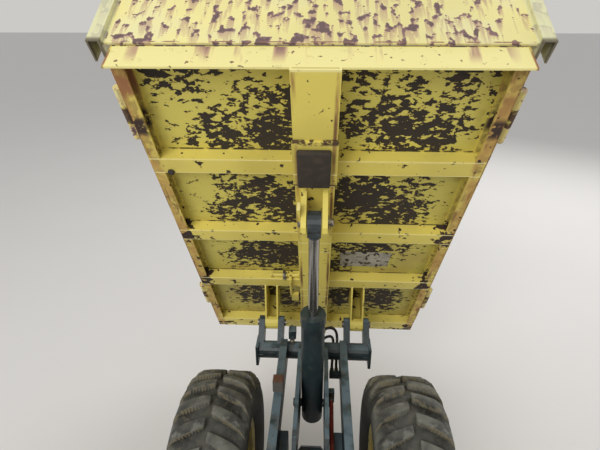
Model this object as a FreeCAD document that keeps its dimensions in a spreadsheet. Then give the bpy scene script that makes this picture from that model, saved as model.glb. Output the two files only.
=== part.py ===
import FreeCAD, Part
import math
import os
import re
import Sketcher
from FreeCAD import Placement, Rotation, Vector

# Site dumper: a small four-wheeled carrier, hinged in its middle, with a flat load bed that
# tips over its front end. It stands here with the bed tipped up.
# Frame of the part: +Y forward, +X to the driver's right, +Z up, ground at Z = 0.

doc = FreeCAD.newDocument("site_dumper")
sheet = doc.addObject("Spreadsheet::Sheet", "Sizes")

# Driving dimensions in millimetres and degrees: name, value, what it is
SIZES = [
    ("front_axle_y", 586.75, "front axle ahead of the part's origin"),
    ("wheelbase", 1550, "front axle to rear axle"),
    ("pivot_back", 850, "steering pivot behind the front axle"),
    ("axle_height", 380, "axle centres above the ground, the tyre's radius on its lugs"),
    ("track", 705, "between the tyres' middles"),
    ("tyre_width", 280, "tyre over its shoulder lugs"),
    ("lug_height", 25, "lug above the carcass"),
    ("lug_width", 62, "lug along the tread"),
    ("lug_inner", 10, "lug's inner end from the tyre's middle"),
    ("lug_sweep", 22, "lug swept back from the axle's line, degrees"),
    ("rim_radius", 194, "bead seat of the rim"),
    ("rim_wall", 9, "rim barrel and disc"),
    ("rim_width", 212, "rim between its flanges"),
    ("rim_offset", 30, "rim's disc outside the tyre's middle"),
    ("seat_fit", 0.3, "rim under the tyre's bead"),
    ("hub_radius", 62, "wheel hub"),
    ("spindle_radius", 28, "axle spindle in the hub"),
    ("hub_depth", 78, "length of the hub"),
    ("hub_outside", 20, "hub outside the tyre's middle"),
    ("axle_radius", 50, "axle tube"),
    ("diff_radius", 104, "bowl of the axle drive"),
    ("diff_half", 80, "half the length of the axle drive's bowl"),
    ("axle_pad", 60, "half height of the axle's spring-less seat"),
    ("rail_outside", 150, "frame rail's outer face from the centre line"),
    ("rail_flange", 32, "width of a rail's flanges"),
    ("rail_wall", 8, "thickness of a rail's walls"),
    ("rail_depth", 120, "height of a rail"),
    ("rail_top", 655, "top of the front rails"),
    ("rail_rear", 640, "front rails end behind the front axle"),
    ("tube_ahead", 470, "cross tube ahead of the front axle"),
    ("tube_height", 592, "cross tube above the ground"),
    ("tube_radius", 39, "cross tube"),
    ("tube_length", 500, "cross tube between its end plates"),
    ("end_plate", 12, "end plates of the cross tube"),
    ("plate_outside", 66, "inner plate's outer face from the centre line"),
    ("plate_wall", 16, "thickness of an inner plate"),
    ("base_pin_ahead", 270, "tipping cylinder's lower pin ahead of the front axle"),
    ("base_pin_height", 477, "tipping cylinder's lower pin above the ground"),
    ("base_pin_radius", 17, "tipping cylinder's lower pin"),
    ("pin_fit", 0.06, "radial clearance of the pins"),
    ("hinge_ahead", 558, "bed hinge ahead of the front axle"),
    ("hinge_height", 680, "bed hinge above the ground"),
    ("hinge_pin_radius", 15, "bed hinge pins"),
    ("hinge_boss_radius", 31, "bosses round the bed hinge pins"),
    ("ear_outer", 256, "outer hinge ear's outer face from the centre line"),
    ("ear_inner", 167, "inner hinge ear's outer face from the centre line"),
    ("ear_wall", 27, "thickness of a hinge ear"),
    ("leg_wall", 7, "bed leg's channel sheet"),
    ("leg_gap", 1.0, "side clearance between bed leg and hinge ear"),
    ("tip_angle", 60, "bed tipped up as it stands"),
    ("floor_lift", 151, "floor's underside above the hinge pin"),
    ("floor_wall", 6, "bed floor"),
    ("floor_behind", 1356, "floor behind the hinge"),
    ("floor_ahead", 304, "floor ahead of the hinge"),
    ("floor_half", 515, "half the floor's width"),
    ("sill_depth", 45, "edge channels and ribs under the floor"),
    ("sill_width", 34, "edge channels"),
    ("rib_width", 62, "width of a rib"),
    ("rib_wall", 4, "rib sheet"),
    ("spine_half", 62, "half the spine's width"),
    ("spine_depth", 92, "height of the spine"),
    ("spine_wall", 6, "spine sheet"),
    ("cross_depth", 82, "height of the cross plate at the floor's rear edge"),
    ("pad_front", 955, "rubber pad begins behind the hinge"),
    ("pad_length", 150, "rubber pad along the bed"),
    ("pad_plate", 8, "plate that carries the rubber pad"),
    ("pad_height", 20, "thickness of the rubber pad"),
    ("pad_gap", 5, "rubber pad above its pedestal with the bed down"),
    ("pedestal_back", 460, "pedestal under the pad behind the front axle"),
    ("head_height", 420, "headboard above the floor"),
    ("head_wall", 6, "headboard sheet"),
    ("head_lean", 5, "headboard leans back, degrees"),
    ("post_width", 34, "corner post across the bed"),
    ("post_depth", 64, "corner post along the bed"),
    ("post_wall", 5, "corner post sheet"),
    ("post_gap", 22, "corner post outboard of the headboard"),
    ("gate_height", 300, "side and front gates"),
    ("gate_wall", 28, "thickness of a gate over its folds"),
    ("gate_skin", 4, "gate sheet"),
    ("gate_clear", 2, "gate outside the floor's edge"),
    ("gate_pin_out", 25, "gate hinge pin outside the floor's edge"),
    ("gate_pin_drop", 6, "gate hinge pin below the floor's underside"),
    ("knuckle_radius", 13, "gate hinge knuckle"),
    ("knuckle_length", 62, "one of a gate hinge's three knuckles"),
    ("knuckle_gap", 0.5, "between two knuckles"),
    ("hinge_rear", 180, "side gate's rear hinge ahead of the floor's rear edge"),
    ("hinge_front", 338, "side gate's front hinge behind the floor's front edge"),
    ("front_hinge", 331, "front gate's hinges from the centre line"),
    ("eye_back", 854, "tipping rod's eye behind the bed hinge"),
    ("eye_drop", 20, "tipping rod's eye below the bed hinge line"),
    ("eye_radius", 37, "tipping rod's eye"),
    ("eye_neck", 46, "neck below the tipping rod's eye"),
    ("eye_width", 44, "tipping rod's eye across"),
    ("eye_pin_radius", 14, "pin of the tipping rod's eye"),
    ("clevis_outside", 42, "clevis ear's outer face from the centre line"),
    ("clevis_wall", 17, "clevis ear"),
    ("clevis_radius", 45, "rounded end of a clevis ear"),
    ("barrel_radius", 45, "tipping cylinder barrel"),
    ("barrel_above", 540, "barrel above its pin"),
    ("barrel_below", 84, "barrel below its pin"),
    ("rod_radius", 18, "tipping cylinder rod"),
    ("port_one", 36, "lower hose port above the barrel's pin"),
    ("port_two", 76, "upper hose port above the barrel's pin"),
    ("port_radius", 11, "hose port"),
    ("port_out", 10, "hose port outside the barrel"),
    ("hose_radius", 6.5, "black lift hoses"),
    ("red_radius", 8.5, "red hose"),
    ("gland_radius", 48, "gland nut"),
    ("gland_length", 46, "gland nut"),
    ("kingpin_radius", 25, "steering pivot pin"),
    ("yoke_top", 625, "top of the steering yoke"),
    ("yoke_bottom", 400, "bottom of the steering yoke"),
    ("yoke_wall", 25, "thickness of a yoke plate"),
    ("yoke_radius", 62, "rounded end of the yoke plates"),
    ("yoke_gap", 4, "clearance between yoke and knuckle"),
    ("knuckle_half", 86, "half the knuckle's width at the rear frame"),
    ("rear_rail_top", 600, "top of the rear rails"),
    ("rear_rail_start", 1000, "rear rails begin behind the front axle"),
    ("rear_rail_end", 2140, "rear rails end behind the front axle"),
    ("foot_half", 430, "half the foot plate's width"),
    ("foot_front", 930, "foot plate's front edge behind the front axle"),
    ("foot_back", 1160, "foot plate's rear edge behind the front axle"),
    ("foot_wall", 5, "foot plate"),
    ("deck_height", 790, "mudguards and seat deck above the ground"),
    ("deck_wall", 4, "mudguard sheet"),
    ("deck_half", 500, "half the width over the mudguards"),
    ("deck_front", 1175, "mudguards begin behind the front axle"),
    ("deck_rear", 1960, "mudguards end behind the front axle"),
    ("bonnet_gap", 60, "bonnet behind the seat"),
    ("bonnet_half", 255, "half the bonnet's width"),
    ("bonnet_height", 255, "bonnet above the deck"),
    ("bonnet_wall", 3, "bonnet sheet"),
    ("panel_half", 206, "engine side panels from the centre line"),
    ("weight_length", 90, "rear weight along the machine"),
    ("weight_half", 300, "half the rear weight's width"),
    ("hitch_radius", 13, "tow pin hole"),
    ("steer_out", 190, "steering cylinder left of the centre line"),
    ("steer_height", 455, "steering cylinder above the ground"),
    ("steer_eye_back", 680, "steering rod's eye behind the front axle"),
    ("steer_base_back", 1230, "steering cylinder's base pin behind the front axle"),
    ("steer_barrel_radius", 22, "steering cylinder barrel"),
    ("steer_barrel_length", 385, "steering cylinder barrel"),
    ("steer_neck", 36, "steering barrel begins ahead of its pin"),
    ("steer_rod_radius", 10, "steering cylinder rod"),
    ("steer_eye_radius", 18, "eyes of the steering cylinder"),
    ("steer_pin_radius", 9, "pins of the steering cylinder"),
    ("wheel_radius", 180, "steering wheel"),
    ("grip_radius", 12, "steering wheel's rim"),
    ("column_lean", 20, "steering column leans back, degrees"),
    ("seat_half", 205, "half the seat's width"),
    ("seat_front", 1270, "seat's front edge behind the front axle"),
    ("seat_depth", 360, "seat cushion"),
    ("seat_wall", 4, "seat pan sheet"),
    ("lever_radius", 7, "control levers"),
    ("knob_radius", 14, "knobs of the control levers"),
]

size = {}
for row, (alias, value, meaning) in enumerate(SIZES, start=1):
    sheet.set("A%d" % row, str(value))
    sheet.set("B%d" % row, meaning)
    sheet.setAlias("A%d" % row, alias)
    size[alias] = float(value)
doc.recompute()


class Named:
    pass


s = Named()
for alias in size:
    setattr(s, alias, size[alias])

nodes = []


def bound(text):
    """An expression of size names, as the document writes it."""
    def cell(match):
        word = match.group(0)
        return "Sizes." + word if word in size else word
    return re.sub(r"[A-Za-z_]+", cell, str(text))


def place(thing, x="0", y="0", z="0"):
    for axis, text in (("x", x), ("y", y), ("z", z)):
        thing.setExpression(".Placement.Base." + axis, bound(text))
    return thing


def box(x, y, z, across, along, high):
    """A block from its low corner."""
    block = doc.addObject("Part::Box", "Block")
    for name, text in (("Length", across), ("Width", along), ("Height", high)):
        block.setExpression(name, bound(text))
    return place(block, x, y, z)


TURNS = {
    "X": Rotation(Vector(0, 1, 0), 90),
    "Y": Rotation(Vector(1, 0, 0), -90),
    "Z": Rotation(),
}


def rod(axis, radius, length, x="0", y="0", z="0"):
    """A round bar that runs from x, y, z along an axis."""
    bar = doc.addObject("Part::Cylinder", "Bar")
    bar.Placement = Placement(Vector(), TURNS[axis])
    bar.setExpression("Radius", bound(radius))
    bar.setExpression("Height", bound(length))
    return place(bar, x, y, z)


def join(*things):
    """One piece welded from several; a single one is only wrapped, to be placed as a whole."""
    if len(things) == 1:
        wrap = doc.addObject("Part::Compound", "Wrapped")
        wrap.Links = list(things)
        return wrap
    whole = doc.addObject("Part::MultiFuse", "Joined")
    whole.Shapes = list(things)
    return whole


def cut(base, *tools):
    whole = doc.addObject("Part::Cut", "Trimmed")
    whole.Base = base
    whole.Tool = tools[0] if len(tools) == 1 else join(*tools)
    return whole


def profile(plane, corners, length, x="0", y="0", z="0"):
    """A straight section: corners drawn on a plane, padded along +X, +Y or +Z."""
    body = doc.addObject("PartDesign::Body", "Section")
    sketch = body.newObject("Sketcher::SketchObject", "Outline")
    flat = [f for f in body.Origin.OriginFeatures if f.Role == plane][0]
    sketch.AttachmentSupport = (flat, [""])
    sketch.MapMode = "FlatFace"
    count = len(corners)
    for i in range(count):
        a = corners[i]
        b = corners[(i + 1) % count]
        start = Vector(rough(a[0]), rough(a[1]), 0)
        end = Vector(rough(b[0]), rough(b[1]), 0)
        sketch.addGeometry(Part.LineSegment(start, end))
    for i in range(count):
        sketch.addConstraint(Sketcher.Constraint("Coincident", i, 2, (i + 1) % count, 1))
    for i in range(count):
        for kind, text in (("DistanceX", corners[i][0]), ("DistanceY", corners[i][1])):
            rule = Sketcher.Constraint(kind, -1, 1, i, 1, rough(text))
            number = sketch.addConstraint(rule)
            sketch.setExpression("Constraints[%d]" % number, bound(text))
    pad = body.newObject("PartDesign::Pad", "Pad")
    pad.Profile = sketch
    pad.Reversed = plane == "XZ_Plane"
    pad.setExpression("Length", bound(length))
    return place(body, x, y, z)


def rough(text):
    """The first guess of a corner, before the sketch is bound to the sheet."""
    total = 0.0
    for sign, term in re.findall(r"([+-]?)\s*([^+-]+)", str(text)):
        factor = -1.0 if sign == "-" else 1.0
        for part in term.split("*"):
            factor *= number_of(part.strip())
        total += factor
    return total


def number_of(word):
    top, slash, bottom = word.replace(" ", "").partition("/")
    value = size[top] if top in size else float(top)
    return value / (size[bottom] if bottom in size else float(bottom)) if slash else value


def mirrored(thing):
    twin = doc.addObject("Part::Mirroring", "Mirrored")
    twin.Source = thing
    twin.Normal = Vector(1, 0, 0)
    return twin


def both(thing):
    """A piece and its mirror image on the other side of the centre line."""
    return join(thing, mirrored(thing))


def node(name, thing):
    thing.Label = name
    nodes.append(thing)
    return thing


def solid(name, shape, placement=None):
    """A sub-part whose shape is worked out here from the sheet's sizes."""
    thing = doc.addObject("Part::Feature", "Shaped")
    thing.Shape = shape
    if placement is not None:
        thing.Placement = placement
    return node(name, thing)


def on_bed(thing):
    """Lays a piece drawn on the level bed, from the hinge, onto the tipped bed."""
    angle = Rotation(Vector(1, 0, 0), -s.tip_angle)
    thing.Placement = Placement(Vector(0, s.front_axle_y + s.hinge_ahead, s.hinge_height), angle)
    thing.setExpression(".Placement.Base.y", bound("front_axle_y + hinge_ahead"))
    thing.setExpression(".Placement.Base.z", bound("hinge_height"))
    thing.setExpression(".Placement.Rotation.Angle", bound("-tip_angle * 1 deg"))
    return thing


def ring(points, facets):
    """Flat facets round the X axis, from an outline of radius and side distance."""
    def corner(step, point):
        turn = 2 * math.pi * step / facets
        return Vector(point[1], -point[0] * math.sin(turn), point[0] * math.cos(turn))

    faces = []
    for step in range(facets):
        for a, b in zip(points, points[1:] + points[:1]):
            edge = [corner(step, a), corner(step, b), corner(step + 1, b), corner(step + 1, a)]
            faces.append(Part.Face(Part.makePolygon(edge + edge[:1])))
    return Part.Solid(Part.makeShell(faces))


def bar(radius, length, axis=Vector(1, 0, 0), start=Vector()):
    return Part.makeCylinder(radius, length, start, axis)


def stick(axis, sides, radius, length, x, y, z):
    """A small bar with flat sides."""
    prism = doc.addObject("Part::Prism", "Stick")
    prism.Placement = Placement(Vector(), TURNS[axis])
    prism.Polygon = sides
    prism.setExpression("Circumradius", bound(radius))
    prism.setExpression("Height", bound(length))
    return place(prism, x, y, z)


def hose(points, radius):
    """A tube along straight runs joined by tangent arcs, each as large as its runs allow."""
    spots = [Vector(x, s.front_axle_y + y, z) for x, y, z in points]
    edges = []
    last = spots[0]
    radii = []
    for before, here, after in zip(spots, spots[1:], spots[2:]):
        come = (here - before).normalize()
        go = (after - here).normalize()
        turn = math.acos(max(-1.0, min(1.0, come.dot(go))))
        trim = 0.45 * min((here - before).Length, (after - here).Length)
        radii.append(trim / math.tan(turn / 2))
        inward = (go - come).normalize()
        start = here - come * trim
        end = here + go * trim
        centre_gap = math.hypot(trim, radii[-1])
        middle = here + inward * (centre_gap - radii[-1])
        edges += [Part.LineSegment(last, start), Part.Arc(start, middle, end)]
        last = end
    edges.append(Part.LineSegment(last, spots[-1]))
    path = Part.Wire([edge.toShape() for edge in edges])
    turned = Rotation(Vector(0, 0, 1), spots[1] - spots[0])
    corners = [spots[0] + turned.multVec(Vector(radius * math.cos(k * math.pi / 2),
                                                radius * math.sin(k * math.pi / 2), 0))
               for k in range(4)]
    mouth = Part.makePolygon(corners + corners[:1])
    tube = path.makePipeShell([mouth], True, False)
    print("hose", round(path.Length), "mm, smallest radius", round(min(radii)), "mm, section x length",
          round(Part.Face(mouth).Area * path.Length / tube.Volume, 4))
    return tube


# Front frame: two channel rails, two inner plates, cross tube, hinge ears, steering yoke
RAIL = [
    ("rail_outside - rail_flange", "rail_top - rail_depth"),
    ("rail_outside", "rail_top - rail_depth"),
    ("rail_outside", "rail_top - rail_depth + rail_wall"),
    ("rail_outside - rail_flange + rail_wall", "rail_top - rail_depth + rail_wall"),
    ("rail_outside - rail_flange + rail_wall", "rail_top - rail_wall"),
    ("rail_outside", "rail_top - rail_wall"),
    ("rail_outside", "rail_top"),
    ("rail_outside - rail_flange", "rail_top"),
]
front_rail = profile("XZ_Plane", RAIL, "rail_rear + tube_ahead",
                     y="front_axle_y - rail_rear")
inner_plate = profile("YZ_Plane", [
    ("-130", "rail_top - rail_depth - 30"),
    ("40", "rail_top - rail_depth - 60"),
    ("base_pin_ahead - 60", "base_pin_height - 62"),
    ("base_pin_ahead + 60", "base_pin_height - 62"),
    ("tube_ahead", "tube_height - 30"),
    ("tube_ahead", "tube_height + 30"),
    ("tube_ahead - 60", "rail_top"),
    ("-60", "rail_top"),
    ("-130", "rail_top - 100"),
], "plate_wall", x="plate_outside - plate_wall", y="front_axle_y")
saddle = box("rail_outside - 62", "front_axle_y - 70", "axle_height + axle_pad",
             "62", "140", "rail_top - rail_depth - axle_height - axle_pad")
# The hinge ears rise from the cross tube and lean forward to the hinge
ear = [
    ("tube_ahead - 40", "tube_height"),
    ("tube_ahead + 30", "tube_height - 24"),
    ("hinge_ahead + 22", "hinge_height - 24"),
    ("hinge_ahead - 20", "hinge_height + 26"),
]
outer_ear = join(
    profile("YZ_Plane", ear, "ear_wall", x="ear_outer - ear_wall", y="front_axle_y"),
    stick("X", 12, "hinge_boss_radius", "ear_wall", "ear_outer - ear_wall",
          "front_axle_y + hinge_ahead", "hinge_height"))
inner_ear = join(
    profile("YZ_Plane", ear, "ear_wall", x="ear_inner - ear_wall", y="front_axle_y"),
    stick("X", 12, "hinge_boss_radius", "ear_wall", "ear_inner - ear_wall",
          "front_axle_y + hinge_ahead", "hinge_height"))
hinge_pin = rod("X", "hinge_pin_radius", "ear_outer - ear_inner + ear_wall + 16",
                "ear_inner - ear_wall - 8", "front_axle_y + hinge_ahead", "hinge_height")
cross_tube = stick("X", 18, "tube_radius", "tube_length", "-tube_length / 2",
                   "front_axle_y + tube_ahead", "tube_height")
end_plates = box("tube_length / 2", "front_axle_y + tube_ahead - tube_radius - 6",
                 "tube_height - tube_radius - 20", "end_plate", "2 * tube_radius + 12",
                 "2 * tube_radius + 26")
cross_plates = join(
    box("-rail_outside + rail_flange", "front_axle_y - 130", "rail_top - rail_depth - 60",
        "2 * (rail_outside - rail_flange)", "12", "75"),
    box("-rail_outside", "front_axle_y - rail_rear", "yoke_bottom",
        "2 * rail_outside", "yoke_wall", "rail_top - yoke_bottom"))
# Pedestal that the bed's rubber pad comes down on, and the hoses' fittings on the frame
pad_level = ("hinge_height + floor_lift - spine_depth - pad_plate - pad_height - pad_gap")
pedestal = profile("XZ_Plane", [
    ("-rail_outside + rail_flange", "rail_top - 50"), ("rail_outside - rail_flange", "rail_top - 50"),
    ("rail_outside - rail_flange", "rail_top"), ("60", pad_level), ("-60", pad_level),
    ("-rail_outside + rail_flange", "rail_top"),
], "70", y="front_axle_y - pedestal_back - 35")
fittings = [
    box("rail_outside - rail_flange - 44", "front_axle_y + 364", "526", "44", "26", "24"),
    box("plate_outside", "front_axle_y + 215", "566", "26", "26", "26"),
    stick("Y", 8, "12", "20", "80", "front_axle_y - pedestal_back + 35", "612"),
]
yoke_plates = []
for level in ("yoke_bottom", "yoke_top - yoke_wall"):
    tongue = profile("XY_Plane", [
        ("-rail_outside + 10", "0 - rail_rear"),
        ("-yoke_radius", "0 - pivot_back"),
        ("yoke_radius", "0 - pivot_back"),
        ("rail_outside - 10", "0 - rail_rear"),
    ], "yoke_wall", y="front_axle_y", z=level)
    eye = stick("Z", 16, "yoke_radius", "yoke_wall", "0", "front_axle_y - pivot_back", level)
    yoke_plates += [tongue, eye]
latch_lug = profile("YZ_Plane", [
    ("tube_ahead - 20", "tube_height + 10"),
    ("tube_ahead + 30", "tube_height + 10"),
    ("tube_ahead + 40", "tube_height + 92"),
    ("tube_ahead + 8", "tube_height + 92"),
], "16", x="-105", y="front_axle_y")
# Bracket of the steering cylinder's rod, bolted to the frame left of the yoke
steer_lugs = [box("-steer_out - 30", "front_axle_y - rail_rear", "steer_height - 32",
                  "steer_out + 30 - rail_outside", "yoke_wall", "64")]
for level in ("steer_height - 26", "steer_height + 16"):
    steer_lugs.append(box("-steer_out - 22", "front_axle_y - steer_eye_back - 24", level,
                          "44", "steer_eye_back - rail_rear + 24", "10"))
steer_lugs += [stick("Z", 8, "steer_pin_radius", "6", "-steer_out",
                     "front_axle_y - steer_eye_back", level)
               for level in ("steer_height - 32", "steer_height + 26")]
node("front_frame", cut(
    join(both(front_rail), both(inner_plate), both(saddle), both(outer_ear), both(inner_ear),
         both(end_plates), cross_tube, cross_plates, latch_lug, pedestal, *fittings,
         *yoke_plates),
    rod("Z", "kingpin_radius", "yoke_top - yoke_bottom + 20",
        y="front_axle_y - pivot_back", z="yoke_bottom - 10"),
    both(rod("X", "hinge_pin_radius", "ear_outer - ear_inner + ear_wall + 16",
             "ear_inner - ear_wall - 8", "front_axle_y + hinge_ahead", "hinge_height")),
    rod("X", "base_pin_radius + pin_fit", "2 * plate_outside + 30", "-plate_outside - 15",
        "front_axle_y + base_pin_ahead", "base_pin_height")))
node("steering_bracket", join(*steer_lugs))
node("hinge_pins", both(hinge_pin))
node("kingpin", rod("Z", "kingpin_radius", "yoke_top - yoke_bottom + 12",
                    y="front_axle_y - pivot_back", z="yoke_bottom - 6"))
node("rest_block", box("-rail_outside - 4", "front_axle_y + 148", "rail_top",
                       "rail_flange + 8", "42", "50"))

# Axles: a tube with a drive bowl, seats under the rails and a spindle for each wheel
AXLES = [("front", "front_axle_y"), ("rear", "front_axle_y - wheelbase")]
AXLE_FACETS = 12
hub_face = s.track / 2 - s.hub_depth + s.hub_outside
spindle_end = s.track / 2 + s.hub_outside - 10
for name, station in AXLES:
    beam = doc.addObject("Part::Feature", "Beam")
    tube = ring([
        (s.spindle_radius - 8, -hub_face + 0.3), (s.axle_radius, -hub_face + 0.3),
        (s.axle_radius, -s.diff_half), (s.diff_radius, -s.diff_half / 2),
        (s.diff_radius, s.diff_half / 2), (s.axle_radius, s.diff_half),
        (s.axle_radius, hub_face - 0.3), (s.spindle_radius - 8, hub_face - 0.3),
    ], AXLE_FACETS)
    beam.Shape = tube.fuse(bar(s.spindle_radius, 2 * spindle_end, start=Vector(-spindle_end, 0, 0)))
    place(beam, "0", station, "axle_height")
    pads = box("rail_outside - 62", station + " - 60", "axle_height",
               "60", "120", "axle_pad")
    node(name + "_axle", join(beam, both(pads)))

# Wheels: a lugged tyre on a dished steel rim, the same at each corner. The lugs of the two
# sides stand half a pitch apart and point forward at the top.
TYRE_FACETS = 30
RIM_FACETS = 15
half = s.tyre_width / 2
tip_reach = s.axle_height / math.cos(math.pi / TYRE_FACETS)
crown = tip_reach - s.lug_height
carcass = ring([
    (s.rim_radius, -s.rim_width / 2), (s.rim_radius + 96, -half + 2), (crown, -half + 30),
    (crown, half - 30), (s.rim_radius + 96, half - 2), (s.rim_radius, s.rim_width / 2),
], TYRE_FACETS)
reach_out = half - 7
# A lug's rear outer corner reaches out the furthest, and two such corners stand on the ground
sweep = math.radians(s.lug_sweep)
trail = (reach_out - 40 - s.lug_inner) * math.sin(sweep) + s.lug_width / 2 * math.cos(sweep)
lug_top = math.sqrt(tip_reach ** 2 - trail ** 2)
standing = Rotation(Vector(1, 0, 0), 180 / TYRE_FACETS - math.degrees(math.atan2(trail, lug_top)))
lugs = []
for pitch in range(TYRE_FACETS // 2):
    for side, half_pitch in ((-1, 0), (1, 1)):
        outline = [Vector(side * across, -s.lug_width / 2, high) for across, high in (
            (s.lug_inner, crown - 20), (s.lug_inner, lug_top),
            (reach_out - 40, lug_top), (reach_out, lug_top - 46),
            (reach_out, s.rim_radius + 106), (reach_out - 40, crown - 30))]
        lug = Part.Face(Part.makePolygon(outline + outline[:1])).extrude(Vector(0, s.lug_width, 0))
        lug.rotate(Vector(side * s.lug_inner, 0, 0), Vector(0, 0, 1), -side * s.lug_sweep)
        lug.rotate(Vector(), Vector(1, 0, 0), (2 * pitch + half_pitch) * 360.0 / TYRE_FACETS)
        lugs.append(lug)
tyre = carcass.fuse(lugs)
seat = s.rim_radius - s.seat_fit
inner = seat - s.rim_wall
disc = s.rim_offset
rim_barrel = ring([(inner, -s.rim_width / 2), (seat, -s.rim_width / 2),
                   (seat, s.rim_width / 2), (inner, s.rim_width / 2)], RIM_FACETS)
rim_disc = ring([
    (s.spindle_radius - 8, s.hub_outside - s.hub_depth), (s.hub_radius, s.hub_outside - s.hub_depth),
    (s.hub_radius, disc - 20), (seat - 2, disc), (seat - 2, disc + s.rim_wall),
    (s.hub_radius, s.hub_outside), (s.spindle_radius - 8, s.hub_outside),
], RIM_FACETS)
hub_bore = bar(s.spindle_radius + s.pin_fit, 2 * s.hub_depth, start=Vector(-s.hub_depth, 0, 0))
rim = rim_barrel.fuse(rim_disc).cut(hub_bore)
for end, station in (("front", s.front_axle_y), ("rear", s.front_axle_y - s.wheelbase)):
    for side, sign in (("left", -1), ("right", 1)):
        spot = Vector(sign * s.track / 2, station, s.axle_height)
        out = Rotation(Vector(0, 0, 1), 180) if sign < 0 else Rotation()
        solid("tyre_%s_%s" % (end, side), tyre, Placement(spot, standing))
        solid("rim_%s_%s" % (end, side), rim, Placement(spot, standing.multiply(out)))

# Bed, drawn level with the hinge pin at the origin: floor, under-frame, headboard
floor_plate = box("-floor_half", "-floor_behind", "floor_lift",
                  "2 * floor_half", "floor_behind + floor_ahead", "floor_wall")
node("bed_floor", on_bed(join(floor_plate)))

SILL = [
    ("floor_half - sill_width", "floor_lift"),
    ("floor_half - sill_width", "floor_lift - spine_wall"),
    ("floor_half - spine_wall", "floor_lift - spine_wall"),
    ("floor_half - spine_wall", "floor_lift - sill_depth + spine_wall"),
    ("floor_half - sill_width", "floor_lift - sill_depth + spine_wall"),
    ("floor_half - sill_width", "floor_lift - sill_depth"),
    ("floor_half", "floor_lift - sill_depth"),
    ("floor_half", "floor_lift"),
]
sill = profile("XZ_Plane", SILL, "floor_behind + floor_ahead", y="-floor_behind")
SPINE = [
    ("-spine_half", "floor_lift - spine_depth"), ("spine_half", "floor_lift - spine_depth"),
    ("spine_half", "floor_lift"), ("spine_half - spine_wall", "floor_lift"),
    ("spine_half - spine_wall", "floor_lift - spine_depth + spine_wall"),
    ("-spine_half + spine_wall", "floor_lift - spine_depth + spine_wall"),
    ("-spine_half + spine_wall", "floor_lift"), ("-spine_half", "floor_lift"),
]
spine = profile("XZ_Plane", SPINE, "floor_behind + floor_ahead - 40", y="-floor_behind")
ribs = []
# Rib stations behind the hinge
for station in ("-966", "-576", "-200", "250"):
    low = station + " - rib_width / 2"
    high = station + " + rib_width / 2"
    ribs.append(profile("YZ_Plane", [
        (low, "floor_lift"), (low, "floor_lift - sill_depth"),
        (high, "floor_lift - sill_depth"), (high, "floor_lift"),
        (high + " - rib_wall", "floor_lift"),
        (high + " - rib_wall", "floor_lift - sill_depth + rib_wall"),
        (low + " + rib_wall", "floor_lift - sill_depth + rib_wall"),
        (low + " + rib_wall", "floor_lift"),
    ], "floor_half - spine_half - spine_wall", x="spine_half"))
clevis = join(
    profile("YZ_Plane", [
        ("-eye_back - 68", "floor_lift - spine_depth"),
        ("-eye_back - clevis_radius", "-eye_drop"),
        ("-eye_back + clevis_radius", "-eye_drop"),
        ("-eye_back + 60", "floor_lift - spine_depth"),
    ], "clevis_wall", x="clevis_outside - clevis_wall"),
    stick("X", 12, "clevis_radius", "clevis_wall", "clevis_outside - clevis_wall",
          "-eye_back", "-eye_drop"))
eye_pin = stick("X", 8, "eye_pin_radius", "8", "clevis_outside", "-eye_back", "-eye_drop")
# Legs down to the hinge pins: channels open to the rear, with a boss for the pin
leg_span = "ear_outer - ear_wall - ear_inner - 2 * leg_gap"
LEG_SIDE = [
    ("-170", "floor_lift - sill_depth"), ("-hinge_boss_radius", "0"), ("hinge_boss_radius", "0"),
    ("hinge_boss_radius", "floor_lift"), ("-170", "floor_lift"),
]
leg = join(
    profile("YZ_Plane", LEG_SIDE, "leg_wall", x="ear_inner + leg_gap"),
    profile("YZ_Plane", LEG_SIDE, "leg_wall", x="ear_outer - ear_wall - leg_gap - leg_wall"),
    box("ear_inner + leg_gap", "hinge_boss_radius - leg_wall", "0", leg_span, "leg_wall",
        "floor_lift"),
    stick("X", 12, "hinge_boss_radius", leg_span, "ear_inner + leg_gap", "0", "0"))
leg_hole = rod("X", "hinge_pin_radius + pin_fit", "ear_outer", "ear_inner - ear_wall", "0", "0")
# Middle knuckles of the gates' hinges
pin_level = "floor_lift - gate_pin_drop"
side_knuckles = []
for station in ("-floor_behind + hinge_rear", "floor_ahead - hinge_front"):
    side_knuckles.append(join(
        rod("Y", "knuckle_radius", "knuckle_length", "floor_half + gate_pin_out", station, pin_level),
        box("floor_half", station, pin_level + " - 6", "gate_pin_out", "knuckle_length", "12")))
front_knuckles = []
for station in ("front_hinge - knuckle_length / 2", "-front_hinge - knuckle_length / 2"):
    front_knuckles.append(join(
        rod("X", "knuckle_radius", "knuckle_length", station, "floor_ahead + gate_pin_out",
            pin_level),
        box(station, "floor_ahead", pin_level + " - 6", "knuckle_length", "gate_pin_out", "12")))
# Lock of the bed: a spring pin behind the third rib, its handle and link
lock_level = "floor_lift - 30"
link_level = "floor_lift - sill_depth - 12"
bed_lock = [
    stick("X", 8, "9", "140", "-200", "-246", lock_level),
    box("-194", "-258", lock_level + " - 10", "8", "29", "20"),
    box("-76", "-258", lock_level + " - 10", "8", "29", "20"),
    box("-134", "-260", lock_level + " - 12", "14", "31", "24"),
    box("-113", "-255", link_level + " - 5", "12", "16", "40"),
    stick("Y", 8, "5", "148", "-107", "-254", link_level),
    box("-106", "-108", link_level + " - 2", "32", "60", "16"),
]
pad_plate = box("-spine_half - 4", "-pad_front - pad_length - 24",
                "floor_lift - spine_depth - pad_plate", "2 * spine_half + 8",
                "pad_length + 34", "pad_plate")
front_bar = box("-floor_half + sill_width", "floor_ahead - 40", "floor_lift - sill_depth",
                "2 * (floor_half - sill_width)", "40", "sill_depth")
rear_web = box("-floor_half", "-floor_behind", "floor_lift - cross_depth", "2 * floor_half",
               "spine_wall", "cross_depth")
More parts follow.
